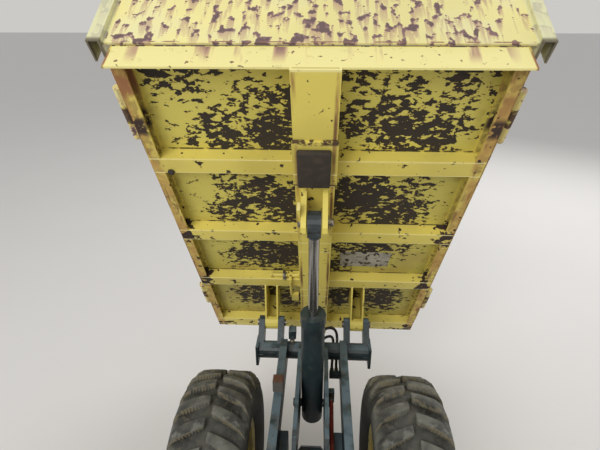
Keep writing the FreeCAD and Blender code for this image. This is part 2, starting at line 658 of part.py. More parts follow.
node("bed_frame", on_bed(cut(
    join(both(join(sill, *ribs, clevis, eye_pin, leg, *side_knuckles)), spine, front_bar,
         pad_plate, rear_web, *front_knuckles, *bed_lock),
    both(leg_hole))))
node("rubber_pad", on_bed(join(box("-52", "-pad_front - pad_length",
                                   "floor_lift - spine_depth - pad_plate - pad_height",
                                   "98", "pad_length", "pad_height"))))
head_sheet = box("-floor_half", "-head_wall", "0", "2 * floor_half", "head_wall", "head_height")
POST = [
    ("floor_half + post_gap", "-20"), ("floor_half + post_gap + post_width", "-20"),
    ("floor_half + post_gap + post_width", "-20 + post_depth"),
    ("floor_half + post_gap + post_width - post_wall", "-20 + post_depth"),
    ("floor_half + post_gap + post_width - post_wall", "-20 + post_wall"),
    ("floor_half + post_gap + post_wall", "-20 + post_wall"),
    ("floor_half + post_gap + post_wall", "-20 + post_depth"),
    ("floor_half + post_gap", "-20 + post_depth"),
]
post = profile("XY_Plane", POST, "head_height + 20", z="-10")
post_web = box("floor_half", "-head_wall", "0", "post_gap", "head_wall", "head_height")
headboard = join(head_sheet, both(post), both(post_web))
headboard.Placement = Placement(Vector(), Rotation(Vector(1, 0, 0), s.head_lean))
headboard.setExpression(".Placement.Base.y", bound("-floor_behind"))
headboard.setExpression(".Placement.Base.z", bound("floor_lift + floor_wall + 0.5"))
headboard.setExpression(".Placement.Rotation.Angle", bound("head_lean * 1 deg"))
node("headboard", on_bed(join(headboard)))

# Gates: a sheet with a folded rim, hinged on pins outside the floor's edge
gate_bottom = "floor_lift + 8"


def gate(along, inner):
    """A gate lying along +X from the origin, its inner face at Y = inner, thickness to +Y."""
    sheet_face = box("0", inner, gate_bottom, along, "gate_skin", "gate_height")
    hem = "gate_wall - gate_skin"
    start = "(" + inner + ") + gate_skin"
    top = box("0", start, gate_bottom + " + gate_height - 30", along, hem, "30")
    foot = box("0", start, gate_bottom, along, hem, "30")
    ends = [box("0", start, gate_bottom, "30", hem, "gate_height"),
            box("(" + along + ") - 30", start, gate_bottom, "30", hem, "gate_height"),
            box("(" + along + ") / 2 - 15", start, gate_bottom, "30", hem, "gate_height")]
    return [sheet_face, top, foot] + ends


def gate_straps(starts):
    """Outer knuckles of a gate's hinges, each with a strap up the gate."""
    straps = []
    for start in starts:
        for offset in (" - knuckle_length", " + knuckle_length"):
            at = start + offset + " + knuckle_gap"
            straps.append(stick("X", 8, "knuckle_radius", "knuckle_length - 2 * knuckle_gap",
                                at, "gate_pin_out", pin_level))
            straps.append(box(at, "gate_pin_out - 3", pin_level + " + 4",
                              "knuckle_length - 2 * knuckle_gap", "6", "60"))
    return straps


side_length = "floor_behind + floor_ahead - 60"
SIDE_HINGES = ("hinge_front - 4 - knuckle_length",
               "floor_behind + floor_ahead - hinge_rear - 4 - knuckle_length")
right_gate = join(*gate(side_length, "gate_clear"), *gate_straps(SIDE_HINGES))
right_gate.Placement = Placement(Vector(), Rotation(Vector(0, 0, 1), -90))
place(right_gate, "floor_half", "floor_ahead - 4", "0")
node("gate_right", on_bed(join(right_gate)))
node("gate_left", on_bed(join(mirrored(right_gate))))
FRONT_HINGES = ("floor_half - 1 - front_hinge - knuckle_length / 2",
                "floor_half - 1 + front_hinge - knuckle_length / 2")
front_gate = join(*gate("2 * floor_half - 2", "gate_clear"), *gate_straps(FRONT_HINGES))
place(front_gate, "-floor_half + 1", "floor_ahead", "0")
node("gate_front", on_bed(join(front_gate)))

# Tipping cylinder, drawn upright with its trunnion at the origin, then turned to the rod's eye
tip_turn = Rotation(Vector(1, 0, 0), -s.tip_angle)
bed_hinge = Vector(0, s.front_axle_y + s.hinge_ahead, s.hinge_height)
eye_spot = bed_hinge + tip_turn.multVec(Vector(0, -s.eye_back, -s.eye_drop))
base_spot = Vector(0, s.front_axle_y + s.base_pin_ahead, s.base_pin_height)
reach = (eye_spot - base_spot).Length
lean = Rotation(Vector(0, 0, 1), eye_spot - base_spot)
barrel = cut(
    join(rod("Z", "barrel_radius", "barrel_above + barrel_below - gland_length",
             z="-barrel_below"),
         stick("Z", 12, "gland_radius", "gland_length", "0", "0",
               "barrel_above - gland_length"),
         both(rod("X", "base_pin_radius", "plate_outside + 15 - barrel_radius + 8",
                  "barrel_radius - 8")),
         stick("Y", 8, "port_radius", "barrel_radius + port_out", "0", "0", "port_one"),
         stick("Y", 8, "port_radius", "barrel_radius + port_out", "0", "0", "port_two")),
    rod("Z", "rod_radius + pin_fit", "barrel_above + 10", z="0"))
barrel.Placement = Placement(base_spot, lean)
node("tip_barrel", barrel)
tip_rod = cut(
    join(rod("Z", "rod_radius", "barrel_above + 20", z="-barrel_above - 20"),
         stick("X", 16, "eye_radius", "eye_width", "-eye_width / 2", "0", "0"),
         box("-eye_width / 2", "-24", "-eye_neck", "eye_width", "48", "eye_neck")),
    rod("X", "eye_pin_radius + pin_fit", "eye_width + 10", "-eye_width / 2 - 5"))
tip_rod.Placement = Placement(eye_spot, lean)
node("tip_rod", tip_rod)

# Rear frame: two channel rails and the knuckle between the yoke's plates
REAR_RAIL = [(across, high.replace("rail_top", "rear_rail_top")) for across, high in RAIL]
rear_rail = profile("XZ_Plane", REAR_RAIL, "rear_rail_end - rear_rail_start",
                    y="front_axle_y - rear_rail_end")
knuckle_height = "yoke_top - yoke_bottom - 2 * yoke_wall - 2 * yoke_gap"
knuckle_level = "yoke_bottom + yoke_wall + yoke_gap"
knuckle = join(
    profile("XY_Plane", [
        ("-52", "0 - pivot_back"), ("-knuckle_half", "0 - rear_rail_start"),
        ("knuckle_half", "0 - rear_rail_start"), ("52", "0 - pivot_back"),
    ], knuckle_height, y="front_axle_y", z=knuckle_level),
    stick("Z", 16, "yoke_radius", knuckle_height, "0", "front_axle_y - pivot_back",
          knuckle_level))
rear_plates = join(
    box("-rail_outside", "front_axle_y - rear_rail_start - 20", "rear_rail_top - rail_depth",
        "2 * rail_outside", "20", "rail_depth"),
    box("-knuckle_half", "front_axle_y - rear_rail_start - 20", knuckle_level,
        "2 * knuckle_half", "20", "rear_rail_top - (" + knuckle_level + ")"),
    box("-rail_outside + rail_flange", "front_axle_y - 1672", "rear_rail_top - 90",
        "2 * (rail_outside - rail_flange)", "12", "90"),
    box("-rail_outside", "front_axle_y - rear_rail_end", "rear_rail_top - rail_depth",
        "2 * rail_outside", "12", "rail_depth"))
rear_saddle = box("rail_outside - 62", "front_axle_y - wheelbase - 60",
                  "axle_height + axle_pad", "60", "120",
                  "rear_rail_top - rail_depth - axle_height - axle_pad")
steer_seat = [
    box("-steer_out - 22", "front_axle_y - steer_base_back - 24", "steer_height + 16",
        "steer_out + 22 - rail_outside + rail_flange", "48", "9"),
    box("-steer_out - 22", "front_axle_y - steer_base_back - 24", "steer_height - 26",
        "steer_out + 22 - rail_outside + rail_flange", "48", "10"),
    box("-rail_outside + 2", "front_axle_y - steer_base_back - 24", "steer_height - 26",
        "rail_flange - 2", "48", "42"),
    rod("Z", "steer_pin_radius", "58", "-steer_out", "front_axle_y - steer_base_back",
        "steer_height - 32"),
]
node("rear_frame", cut(
    join(both(rear_rail), knuckle, rear_plates, both(rear_saddle), *steer_seat),
    rod("Z", "kingpin_radius + pin_fit", "yoke_top", y="front_axle_y - pivot_back")))

# Steering cylinder: barrel pinned to the rear frame, rod between the front frame's lugs
steer_barrel = cut(
    join(rod("Y", "steer_barrel_radius", "steer_barrel_length - steer_neck", y="steer_neck"),
         stick("Z", 12, "steer_eye_radius", "28", "0", "0", "-14"),
         box("-11", "0", "-11", "22", "steer_neck + 6", "22")),
    rod("Z", "steer_pin_radius + pin_fit", "60", z="-30"),
    rod("Y", "steer_rod_radius + pin_fit", "steer_barrel_length", y="steer_neck + 16"))
place(steer_barrel, "-steer_out", "front_axle_y - steer_base_back", "steer_height")
node("steer_barrel", steer_barrel)
steer_rod = cut(
    join(rod("Y", "steer_rod_radius", "steer_base_back - steer_eye_back - 180",
             y="-(steer_base_back - steer_eye_back - 180)"),
         stick("Z", 12, "steer_eye_radius", "28", "0", "0", "-14")),
    rod("Z", "steer_pin_radius + pin_fit", "60", z="-30"))
place(steer_rod, "-steer_out", "front_axle_y - steer_eye_back", "steer_height")
node("steer_rod", steer_rod)

# Foot plate with tanks under it, console, steering wheel, pedals and levers
TANKS = [("fuel_tank", "270"), ("hydraulic_tank", "-foot_half + 10")]
for name, start in TANKS:
    node(name, join(profile("XZ_Plane", [
        ("0", "14"), ("14", "0"), ("foot_half - 294", "0"), ("foot_half - 280", "14"),
        ("foot_half - 280", "160"), ("0", "160"),
    ], "foot_back - foot_front - 40", x=start, y="front_axle_y - foot_back + 20",
        z="rear_rail_top - 160")))
console = profile("XZ_Plane", [("-60", "0"), ("60", "0"), ("42", "330"), ("-42", "330")], "70",
                  y="-35")
column = join(console, rod("Z", "24", "deck_height - 610", z="320"),
              rod("Z", "11", "90", z="deck_height - 320"))
base = box("-75", "-50", "0", "150", "100", "6")
column_turn = Rotation(Vector(1, 0, 0), s.column_lean)
column.Placement = Placement(Vector(), column_turn)
column.setExpression(".Placement.Base.z", bound("18"))
column_spot = Vector(0, s.front_axle_y - s.foot_front - 60, s.rear_rail_top + s.foot_wall)
whole_column = join(column, base, box("-50", "-32", "0", "100", "64", "34"))
whole_column.Placement = Placement(column_spot, Rotation())
node("steering_column", whole_column)
wheel_rim = doc.addObject("Part::Feature", "Rim")
grip = s.grip_radius
wheel_rim.Shape = ring([
    (s.wheel_radius - grip + grip * math.cos(turn), grip * math.sin(turn))
    for turn in (math.pi / 3 * k for k in range(6))
], 28)
wheel_rim.Placement = Placement(Vector(), Rotation(Vector(0, 1, 0), 90))
spokes = []
for turn in (90, 210, 330):
    spoke = box("0", "-9", "-4", "wheel_radius - 14", "18", "8")
    bent = Vector(math.sin(math.radians(turn)) * 9, -math.cos(math.radians(turn)) * 9, -4)
    spoke.Placement = Placement(bent, Rotation(Vector(0, 0, 1), turn))
    spokes.append(spoke)
wheel_hub = join(wheel_rim, stick("Z", 12, "30", "40", "0", "0", "-26"), *spokes)
steering_wheel = cut(wheel_hub, rod("Z", "11 + pin_fit", "60", z="-30"))
wheel_spot = column_spot + Vector(0, 0, 18) + column_turn.multVec(Vector(0, 0, s.deck_height - 250))
steering_wheel.Placement = Placement(wheel_spot, column_turn)
node("steering_wheel", steering_wheel)
pedals = []
for across in (-150, 105):
    pedals.append(join(box(str(across), "-foot_front - 75", "rear_rail_top + foot_wall + 70",
                           "62", "80", "8"),
                       box(str(across + 25), "-foot_front - 40",
                           "rear_rail_top + foot_wall", "12", "12", "74")))
for pedal in pedals:
    place(pedal, "0", "front_axle_y", "0")
node("foot_plate", join(
    box("-foot_half", "front_axle_y - foot_back", "rear_rail_top",
        "2 * foot_half", "foot_back - foot_front", "foot_wall"), *pedals))

# Mudguards, side panels, grille and seat box of folded sheet
bonnet_front = "seat_front + seat_depth + bonnet_gap"
deck_rise = "(deck_height - rear_rail_top)"
guard = profile("YZ_Plane", [
    ("-foot_back - 1", "rear_rail_top + foot_wall"), ("-foot_back - 40", "deck_height"),
    ("-deck_rear + 80", "deck_height"), ("-deck_rear", "deck_height - 90"),
    ("-deck_rear - deck_wall", "deck_height - 88"),
    ("-deck_rear + 78", "deck_height + deck_wall"),
    ("-foot_back - 37", "deck_height + deck_wall"),
    ("-foot_back + 3", "rear_rail_top + foot_wall"),
], "deck_half - panel_half", x="panel_half", y="front_axle_y")
node("mudguards", both(guard))
panel = box("panel_half - deck_wall", "front_axle_y - rear_rail_end", "rear_rail_top",
            "deck_wall", "rear_rail_end - seat_front + 20", "deck_height + deck_wall - rear_rail_top")
slots = []
for i in range(6):
    slots.append(box("panel_half - 20", "front_axle_y - 2080 + %d" % (i * 55),
                     "rear_rail_top + 6 / 19 * " + deck_rise, "40", "30",
                     "9 / 19 * " + deck_rise))
ledge = box("rail_outside - rail_flange", "front_axle_y - rear_rail_end", "rear_rail_top",
            "panel_half - rail_outside + rail_flange - deck_wall",
            "60", "deck_wall")
node("side_panels", both(join(cut(panel, *slots), ledge)))
grille_slots = [box("-150", "front_axle_y - rear_rail_end - 20",
                    "rear_rail_top + %d / 190 * " % (40 + i * 34) + deck_rise, "300", "40",
                    "16 / 190 * " + deck_rise) for i in range(4)]
grille = cut(box("-panel_half", "front_axle_y - rear_rail_end - deck_wall", "rear_rail_top - 40",
                 "2 * panel_half", "deck_wall", "deck_height - rear_rail_top + 44"),
             *grille_slots)
bonnet_pin_y = "front_axle_y - rear_rail_end - 16"
bonnet_pin_z = "deck_height + 8"
lugs = []
for start in ("-170", "130"):
    lugs.append(box(start, "front_axle_y - rear_rail_end - 24", bonnet_pin_z + " - 14",
                    "40", "24 - deck_wall", "12"))
    lugs.append(stick("X", 8, "8", "40", start, bonnet_pin_y, bonnet_pin_z))
node("grille_panel", join(grille, *lugs))
node("seat_box", join(
    box("-panel_half + deck_wall", "front_axle_y - seat_front + 16", "rear_rail_top",
        "2 * (panel_half - deck_wall)", "deck_wall", "deck_height - rear_rail_top"),
    box("-panel_half + deck_wall", "front_axle_y + 10 - (" + bonnet_front + ")", "deck_height",
        "2 * (panel_half - deck_wall)", bonnet_front + " - seat_front + 10", "deck_wall")))

# Engine and gearbox as plain masses
node("engine_block", join(
    box("-rail_outside", "front_axle_y - rear_rail_end + 60", "rear_rail_top",
        "2 * rail_outside", "rear_rail_end - 95 - (" + bonnet_front + ")", "140 + " + deck_rise),
    box("-90", "front_axle_y - 2060", "rear_rail_top - 90", "180", "320", "90")))
node("gearbox", join(
    box("-100", "front_axle_y - 1640", "rear_rail_top - 105", "200", "330", "150"),
    box("-rail_outside", "front_axle_y - 1490", "rear_rail_top", "2 * rail_outside", "40", "16")))

# Bonnet: a folded shell, open below, hinged at the back
HOOD = [
    ("-bonnet_half", "0"), ("-bonnet_half + bonnet_wall", "0"),
    ("-bonnet_half + bonnet_wall", "bonnet_height - 70"),
    ("-bonnet_half + 60", "bonnet_height - bonnet_wall"),
    ("bonnet_half - 60", "bonnet_height - bonnet_wall"),
    ("bonnet_half - bonnet_wall", "bonnet_height - 70"),
    ("bonnet_half - bonnet_wall", "0"), ("bonnet_half", "0"),
    ("bonnet_half", "bonnet_height - 68"), ("bonnet_half - 58", "bonnet_height"),
    ("-bonnet_half + 58", "bonnet_height"), ("-bonnet_half", "bonnet_height - 68"),
]
HOOD_END = [HOOD[0], HOOD[7], HOOD[8], HOOD[9], HOOD[10], HOOD[11]]
hood_level = "deck_height + deck_wall + 0.3"
hood_length = "rear_rail_end - (" + bonnet_front + ")"
hood = profile("XZ_Plane", HOOD, hood_length, y="front_axle_y - rear_rail_end", z=hood_level)
hood_ends = [
    profile("XZ_Plane", HOOD_END, "bonnet_wall", y="front_axle_y - rear_rail_end", z=hood_level),
    profile("XZ_Plane", HOOD_END, "bonnet_wall",
            y="front_axle_y - bonnet_wall - (" + bonnet_front + ")", z=hood_level),
]
straps = []
for start in ("-180", "170.5"):
    straps.append(rod("X", "8", "9.5", start, bonnet_pin_y, bonnet_pin_z))
    straps.append(box(start, bonnet_pin_y + " - 4", bonnet_pin_z, "9.5", "20", "34"))
node("bonnet", join(hood, *hood_ends, *straps))
node("exhaust", join(
    rod("Z", "42", "200", "330", "front_axle_y - 1800", "deck_height + deck_wall"),
    rod("Z", "19", "500", "330", "front_axle_y - 1800", "deck_height + deck_wall + 190")))

# Seat: steel pan, cushion, backrest on two posts
pan = cut(
    box("-seat_half + 15", "front_axle_y - seat_front - seat_depth", "deck_height + deck_wall",
        "2 * seat_half - 30", "seat_depth - 10", "84"),
    box("-seat_half + 15 + seat_wall", "front_axle_y - seat_front - seat_depth + seat_wall",
        "deck_height", "2 * seat_half - 30 - 2 * seat_wall", "seat_depth - 10 - 2 * seat_wall",
        "84 + deck_wall - seat_wall"))
node("seat_pan", join(
    pan,
    box("-120", "front_axle_y - seat_front - seat_depth - 20", "deck_height + deck_wall",
        "30", "20", "400"),
    box("90", "front_axle_y - seat_front - seat_depth - 20", "deck_height + deck_wall",
        "30", "20", "400")))
node("seat_cushion", box("-seat_half", "front_axle_y - seat_front - seat_depth + 50",
                         "deck_height + deck_wall + 84.3", "2 * seat_half", "seat_depth - 50",
                         "85"))
node("seat_backrest", box("-seat_half", "front_axle_y - seat_front - seat_depth + 0.3",
                          "deck_height + deck_wall + 185", "2 * seat_half", "48", "260"))
levers = []
LEVERS = [("232", "210"), ("262", "190")]
for across, height in LEVERS:
    levers.append(stick("Z", 8, "lever_radius", height, across, "front_axle_y - 1300",
                        "deck_height + deck_wall"))
    levers.append(stick("Z", 8, "knob_radius", "26", across, "front_axle_y - 1300",
                        "deck_height + deck_wall + " + height))
quadrant = box("215", "front_axle_y - 1330", "deck_height + deck_wall", "65", "60", "20")
node("levers", join(quadrant, *levers))

# Rear weight with the tow jaw
weight_y = "front_axle_y - rear_rail_end - weight_length"
node("rear_weight", box("-weight_half", weight_y, "rear_rail_top - 210", "2 * weight_half",
                        "weight_length", "168"))
jaw = []
for level in ("430", "485"):
    jaw.append(box("-38", "(" + weight_y + ") - 66", level, "76", "66", "16"))
jaw.append(box("-38", "(" + weight_y + ") - 12", "430", "76", "12", "71"))
node("tow_jaw", cut(join(*jaw), rod("Z", "hitch_radius", "120", "0",
                                    "(" + weight_y + ") - 40", "410")))

# Hoses, chosen by hand along their real way: across, ahead of the front axle, height
RED = [
    (79, 215, 579), (79, 170, 579), (78, 90, 573), (77, 0, 570), (78, -95, 574),
    (79, -190, 585), (80, -280, 600), (80, -355, 611), (80, -405, 612),
]
LIFT_ONE = [
    (106, 390, 538), (106, 424, 536), (107, 457, 535), (109, 490, 540), (111, 520, 556),
    (112, 540, 583), (111, 545, 616), (106, 539, 648), (94, 525, 677), (75, 505, 698),
    (51, 484, 707), (28, 465, 701), (12, 452, 680), (6, 441, 650), (6, 427, 617), (5, 414, 584),
    (3, 396, 556), (0, 370, 536), (0, 343, 525.8), (0, 318.8, 521.75),
]
LIFT_TWO = [
    (86, 390, 538), (86, 424, 536), (88, 456, 535), (91, 488, 541), (93, 512, 558),
    (94, 523, 586), (92, 522, 618), (83, 508, 646), (66, 485, 664), (43, 459, 671),
    (18, 434, 665), (-3, 412, 648), (-13, 395, 622), (-12, 378, 596), (-6, 358, 576),
    (0, 336.5, 565.2), (0, 312.2, 561.15),
]
solid("red_hose", hose(RED, s.red_radius))
lift_hoses = Part.makeCompound([hose(LIFT_ONE, s.hose_radius), hose(LIFT_TWO, s.hose_radius)])
solid("lift_hoses", lift_hoses)

# Check, then write each sub-part to its own file
doc.recompute()
failed = [thing.Label for thing in doc.Objects
          if "Invalid" in thing.State or "Error" in thing.State]
if failed:
    raise ValueError("failed: " + ", ".join(failed))
os.makedirs("parts", exist_ok=True)
for thing in nodes:
    shape = thing.Shape
    if shape.isNull() or not shape.isValid():
        raise ValueError("%s has no valid shape" % thing.Label)
    shape.exportStep("parts/%s.step" % thing.Label)
    print(thing.Label, len(shape.Solids), round(shape.Volume / 1e6, 2))
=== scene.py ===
import math

import bmesh
import bpy
from mathutils import Euler, Matrix, Vector


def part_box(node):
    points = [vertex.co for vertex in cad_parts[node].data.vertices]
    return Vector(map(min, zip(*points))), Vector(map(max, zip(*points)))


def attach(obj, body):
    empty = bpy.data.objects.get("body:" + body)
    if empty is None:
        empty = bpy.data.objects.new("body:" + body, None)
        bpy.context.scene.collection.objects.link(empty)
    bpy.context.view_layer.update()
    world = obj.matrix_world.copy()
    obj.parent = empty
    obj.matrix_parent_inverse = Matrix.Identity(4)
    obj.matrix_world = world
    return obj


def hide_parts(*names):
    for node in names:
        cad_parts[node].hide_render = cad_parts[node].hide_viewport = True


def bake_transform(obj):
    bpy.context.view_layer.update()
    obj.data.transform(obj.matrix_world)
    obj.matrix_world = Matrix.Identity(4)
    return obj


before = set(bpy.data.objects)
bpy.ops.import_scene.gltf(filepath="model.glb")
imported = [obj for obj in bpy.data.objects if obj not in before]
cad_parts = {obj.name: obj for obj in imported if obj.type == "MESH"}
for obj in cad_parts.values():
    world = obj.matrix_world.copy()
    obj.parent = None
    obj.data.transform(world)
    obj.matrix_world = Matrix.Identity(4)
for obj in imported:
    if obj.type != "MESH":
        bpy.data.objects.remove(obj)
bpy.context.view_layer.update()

# Camera: at eye height above the steering wheel, looking forward and down at the raised bed
# through a wide lens.
EYE = (0.015, -0.58825, 2.0)
LOOK_DOWN = 25.0
LOOK_LEFT = 2.67
PHOTO_WIDTH = 600
FOCAL_PIXELS = 450.0
SENSOR = 36.0
FAR_LIMIT = 200.0


def deselect():
    """Deselects everything, as an operator acts on all that is selected."""
    bpy.ops.object.select_all(action="DESELECT")


deselect()
bpy.ops.object.camera_add(
    location=EYE, rotation=(math.radians(90 - LOOK_DOWN), 0, math.radians(LOOK_LEFT)))
eye = bpy.context.object
eye.name = "driver_eye"
eye.data.sensor_width = SENSOR
eye.data.lens = SENSOR * FOCAL_PIXELS / PHOTO_WIDTH
eye.data.clip_end = FAR_LIMIT
bpy.context.scene.camera = eye
bpy.context.scene.view_settings.view_transform = "Standard"


# Hoses: two black lift hoses from the frame's block to the foot of the tipping cylinder, and
# a red feed hose along the frame. Each is a rubber tube held by a crimped steel ferrule.
class Amount:
    """A number in a finish that differs from point to point and takes part in sums."""

    def __init__(self, finish, socket):
        self.finish = finish
        self.socket = socket

    def maths(self, operation, *others):
        values = dict(enumerate((self,) + others))
        return self.finish.add("ShaderNodeMath", {"operation": operation}, values)

    def __add__(self, other):
        return self.maths("ADD", other)

    def __sub__(self, other):
        return self.maths("SUBTRACT", other)

    def __rsub__(self, other):
        return self * -1.0 + other

    def __mul__(self, other):
        return self.maths("MULTIPLY", other)

    def __truediv__(self, other):
        return self.maths("DIVIDE", other)

    __radd__ = __add__
    __rmul__ = __mul__

    def size(self):
        return self.maths("ABSOLUTE")

    def larger(self, other):
        return self.maths("MAXIMUM", other)

    def near(self, place, far, close):
        """1 within close of a place and 0 beyond far."""
        return (self - place).size().rising(far, close)

    def rising(self, low, high):
        """0 below low and 1 above high, smooth between; falling where low is the higher."""
        if low > high:
            return 1 - self.rising(high, low)
        values = {"Value": self, "From Min": low, "From Max": high}
        return self.finish.add(
            "ShaderNodeMapRange", {"interpolation_type": "SMOOTHSTEP"}, values)


class Finish:
    """A procedural material, mixed in the piece's own coordinates."""

    def __init__(self, name, colour, roughness, turn=0.0, centre=(0, 0, 0), **constants):
        self.material = bpy.data.materials.new(name)
        self.material.use_nodes = True
        self.tree = self.material.node_tree
        self.surface = self.tree.nodes["Principled BSDF"]
        self.colour = (*colour, 1)
        self.rough = roughness
        self.height = None
        self.metal = None
        for socket, value in constants.items():
            self.surface.inputs[socket.replace("_", " ")].default_value = value
        self.coordinates = self.tree.nodes.new("ShaderNodeTexCoord")
        self.place = self.add(
            "ShaderNodeMapping", {"vector_type": "TEXTURE"},
            {"Vector": self.coordinates.outputs["Object"], "Location": centre,
             "Rotation": (math.radians(turn), 0, 0)})

    def add(self, kind, settings, values, output=0):
        """Any node: its kind, its settings, then the values or links of its sockets."""
        node = self.tree.nodes.new(kind)
        for key, value in settings.items():
            setattr(node, key, value)
        for key, value in values.items():
            if isinstance(value, Amount):
                self.tree.links.new(value.socket, node.inputs[key])
            elif isinstance(value, bpy.types.NodeSocket):
                self.tree.links.new(value, node.inputs[key])
            else:
                node.inputs[key].default_value = value
        return Amount(self, node.outputs[output])

    def along(self, axis, normal=False):
        """One coordinate of the place, or of the surface's own direction."""
        source = self.coordinates.outputs["Normal"] if normal else self.place
        return self.add("ShaderNodeSeparateXYZ", {}, {"Vector": source}, "XYZ".index(axis))

    def noise(self, scale, detail=3.0, stretch=(1, 1, 1), shift=0.0, distortion=0.0,
              slide=(0, 0, 0)):
        """Cloudy values about 0.5, with lumps of 1 / scale metres; slide moves them."""
        moved = self.add("ShaderNodeMapping", {}, {
            "Vector": self.place, "Scale": stretch,
            "Location": [shift - a * b for a, b in zip(slide, stretch)]})
        return self.add("ShaderNodeTexNoise", {}, {
            "Vector": moved, "Scale": scale, "Detail": detail, "Distortion": distortion})

    def cover(self, colour, mask, roughness=None):
        """Lays a colour over what is there, where the mask is 1."""
        tint = colour if isinstance(colour, Amount) else (*colour, 1)
        self.colour = self.add("ShaderNodeMix", {"data_type": "RGBA"},
                               {0: mask, 6: self.colour, 7: tint}, 2)
        if roughness is not None:
            self.rough = mask * (roughness - self.rough) + self.rough

    def blotch(self, shade, mask):
        """Lightens or darkens what is there by a shade, where the mask is 1."""
        self.colour = self.add("ShaderNodeMix", {"data_type": "RGBA", "blend_type": "MULTIPLY"},
                               {0: mask, 6: self.colour, 7: (shade, shade, shade, 1)}, 2)

    def patches(self, colour, lumps, edge, amount, roughness=None, within=None, **noise):
        """Lays a colour in cloudy patches, of a scale and detail, that begin and fill at edge."""
        mask = self.noise(*lumps, **noise).rising(*edge)
        if amount != 1:
            mask = mask * amount
        if within is not None:
            mask = mask * within
        self.cover(colour, mask, roughness)

    def raise_by(self, height):
        self.height = height if self.height is None else self.height + height

    def done(self, bump=0.0, height=None):
        """Links the mix to the surface; bump is the depth in metres of a height of 1."""
        if height is not None:
            self.raise_by(height)
        links = [("Base Color", self.colour), ("Roughness", self.rough)]
        if self.metal is not None:
            links.append(("Metallic", self.metal))
        for key, value in links:
            if isinstance(value, Amount):
                self.tree.links.new(value.socket, self.surface.inputs[key])
            else:
                self.surface.inputs[key].default_value = value
        if self.height is not None and bump:
            relief = self.add("ShaderNodeBump", {}, {"Height": self.height, "Distance": bump,
                                                     "Strength": 1.0})
            self.tree.links.new(relief.socket, self.surface.inputs["Normal"])
        return self.material


def hose_rubber(name, colour, dust):
    finish = Finish(name, colour, 0.55)
    finish.patches(dust, (24, 4), (0.5, 0.72), 0.45, 0.85)
    finish.blotch(0.6, finish.noise(9, 2, shift=3.0).rising(0.45, 0.7))
    return finish.done(0.0004, finish.noise(900, 1) * 0.5 + finish.noise(60, 3))


def curve_mesh(line):
    """The mesh of a curve, bare or with its thickness."""
    bare = bpy.data.objects.new("bare_line", line)
    mesh = bpy.data.meshes.new_from_object(bare)
    bpy.data.objects.remove(bare)
    return mesh


def swept(name, line, radius, roundness):
    """A round cord along a line."""
    line.bevel_depth = radius
    line.bevel_resolution = roundness
    piece = bpy.data.objects.new(name, curve_mesh(line))
    bpy.context.collection.objects.link(piece)
    return piece


def hose_line(points):
    """The smooth centre line of a hose, as a curve with no thickness yet."""
    line = bpy.data.curves.new("hose_line", "CURVE")
    line.dimensions = "3D"
    line.resolution_u = 10
    spline = line.splines.new("NURBS")
    spline.points.add(len(points) - 1)
    for spot, (across, ahead, high) in zip(spline.points, points):
        spot.co = (across, FRONT_AXLE_Y + ahead, high, 1)
    spline.order_u = 3
    spline.use_endpoint_u = True
    return line


def hose(name, points, radius, length, finish, node, far_body=None):
    """A hose from the frame's fitting; where it goes to another body, it is left on no body, in its
    drawn place.
    """
    line = hose_line(points)
    path = [vertex.co.copy() for vertex in curve_mesh(line).vertices]
    line.use_fill_caps = True
    piece = swept(name, line, radius, 5)
    piece.data.materials.clear()
    piece.data.materials.append(finish)
    piece.data.shade_smooth()
    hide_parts(node)
    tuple(path[0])
    if far_body:
        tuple(path[0])
        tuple(path[-1])
        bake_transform(piece)
    else:
        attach(piece, "front")
    return piece


FRONT_AXLE_Y = 0.58675
LIFT_RADIUS = 0.0065
FEED_RADIUS = 0.0085
RED_ROUTE = [
    # across, ahead of the front axle, height
    (0.079, 0.215, 0.579), (0.079, 0.170, 0.579), (0.078, 0.090, 0.573), (0.077, 0.0, 0.570),
    (0.078, -0.095, 0.574), (0.079, -0.190, 0.585), (0.080, -0.280, 0.600),
    (0.080, -0.355, 0.611), (0.080, -0.405, 0.612),
]
LIFT_ONE_ROUTE = [
    (0.106, 0.390, 0.538), (0.106, 0.424, 0.536), (0.107, 0.457, 0.535), (0.109, 0.490, 0.540),
    (0.111, 0.520, 0.556), (0.112, 0.540, 0.583), (0.111, 0.545, 0.616), (0.106, 0.539, 0.648),
    (0.094, 0.525, 0.677), (0.075, 0.505, 0.698), (0.051, 0.484, 0.707), (0.028, 0.465, 0.701),
    (0.012, 0.452, 0.680), (0.006, 0.441, 0.650), (0.006, 0.427, 0.617), (0.005, 0.414, 0.584),
    (0.003, 0.396, 0.556), (0.0, 0.370, 0.536), (0.0, 0.343, 0.5258), (0.0, 0.3188, 0.52175),
]
LIFT_TWO_ROUTE = [
    (0.086, 0.390, 0.538), (0.086, 0.424, 0.536), (0.088, 0.456, 0.535), (0.091, 0.488, 0.541),
    (0.093, 0.512, 0.558), (0.094, 0.523, 0.586), (0.092, 0.522, 0.618), (0.083, 0.508, 0.646),
    (0.066, 0.485, 0.664), (0.043, 0.459, 0.671), (0.018, 0.434, 0.665), (-0.003, 0.412, 0.648),
    (-0.013, 0.395, 0.622), (-0.012, 0.378, 0.596), (-0.006, 0.358, 0.576),
    (0.0, 0.3365, 0.5652), (0.0, 0.3122, 0.56115),
]
black_hose = hose_rubber("black_hose_rubber", (0.018, 0.018, 0.019), (0.16, 0.13, 0.10))
red_hose_finish = hose_rubber("red_hose_rubber", (0.30, 0.035, 0.025), (0.30, 0.16, 0.10))
for name, route, length in (("lift_hose_lower", LIFT_ONE_ROUTE, 0.615),
                            ("lift_hose_upper", LIFT_TWO_ROUTE, 0.500)):
    hose(name, route, LIFT_RADIUS, length, black_hose, "lift_hoses", "tip_barrel")
hose("feed_hose", RED_ROUTE, FEED_RADIUS, 0.623, red_hose_finish, "red_hose")

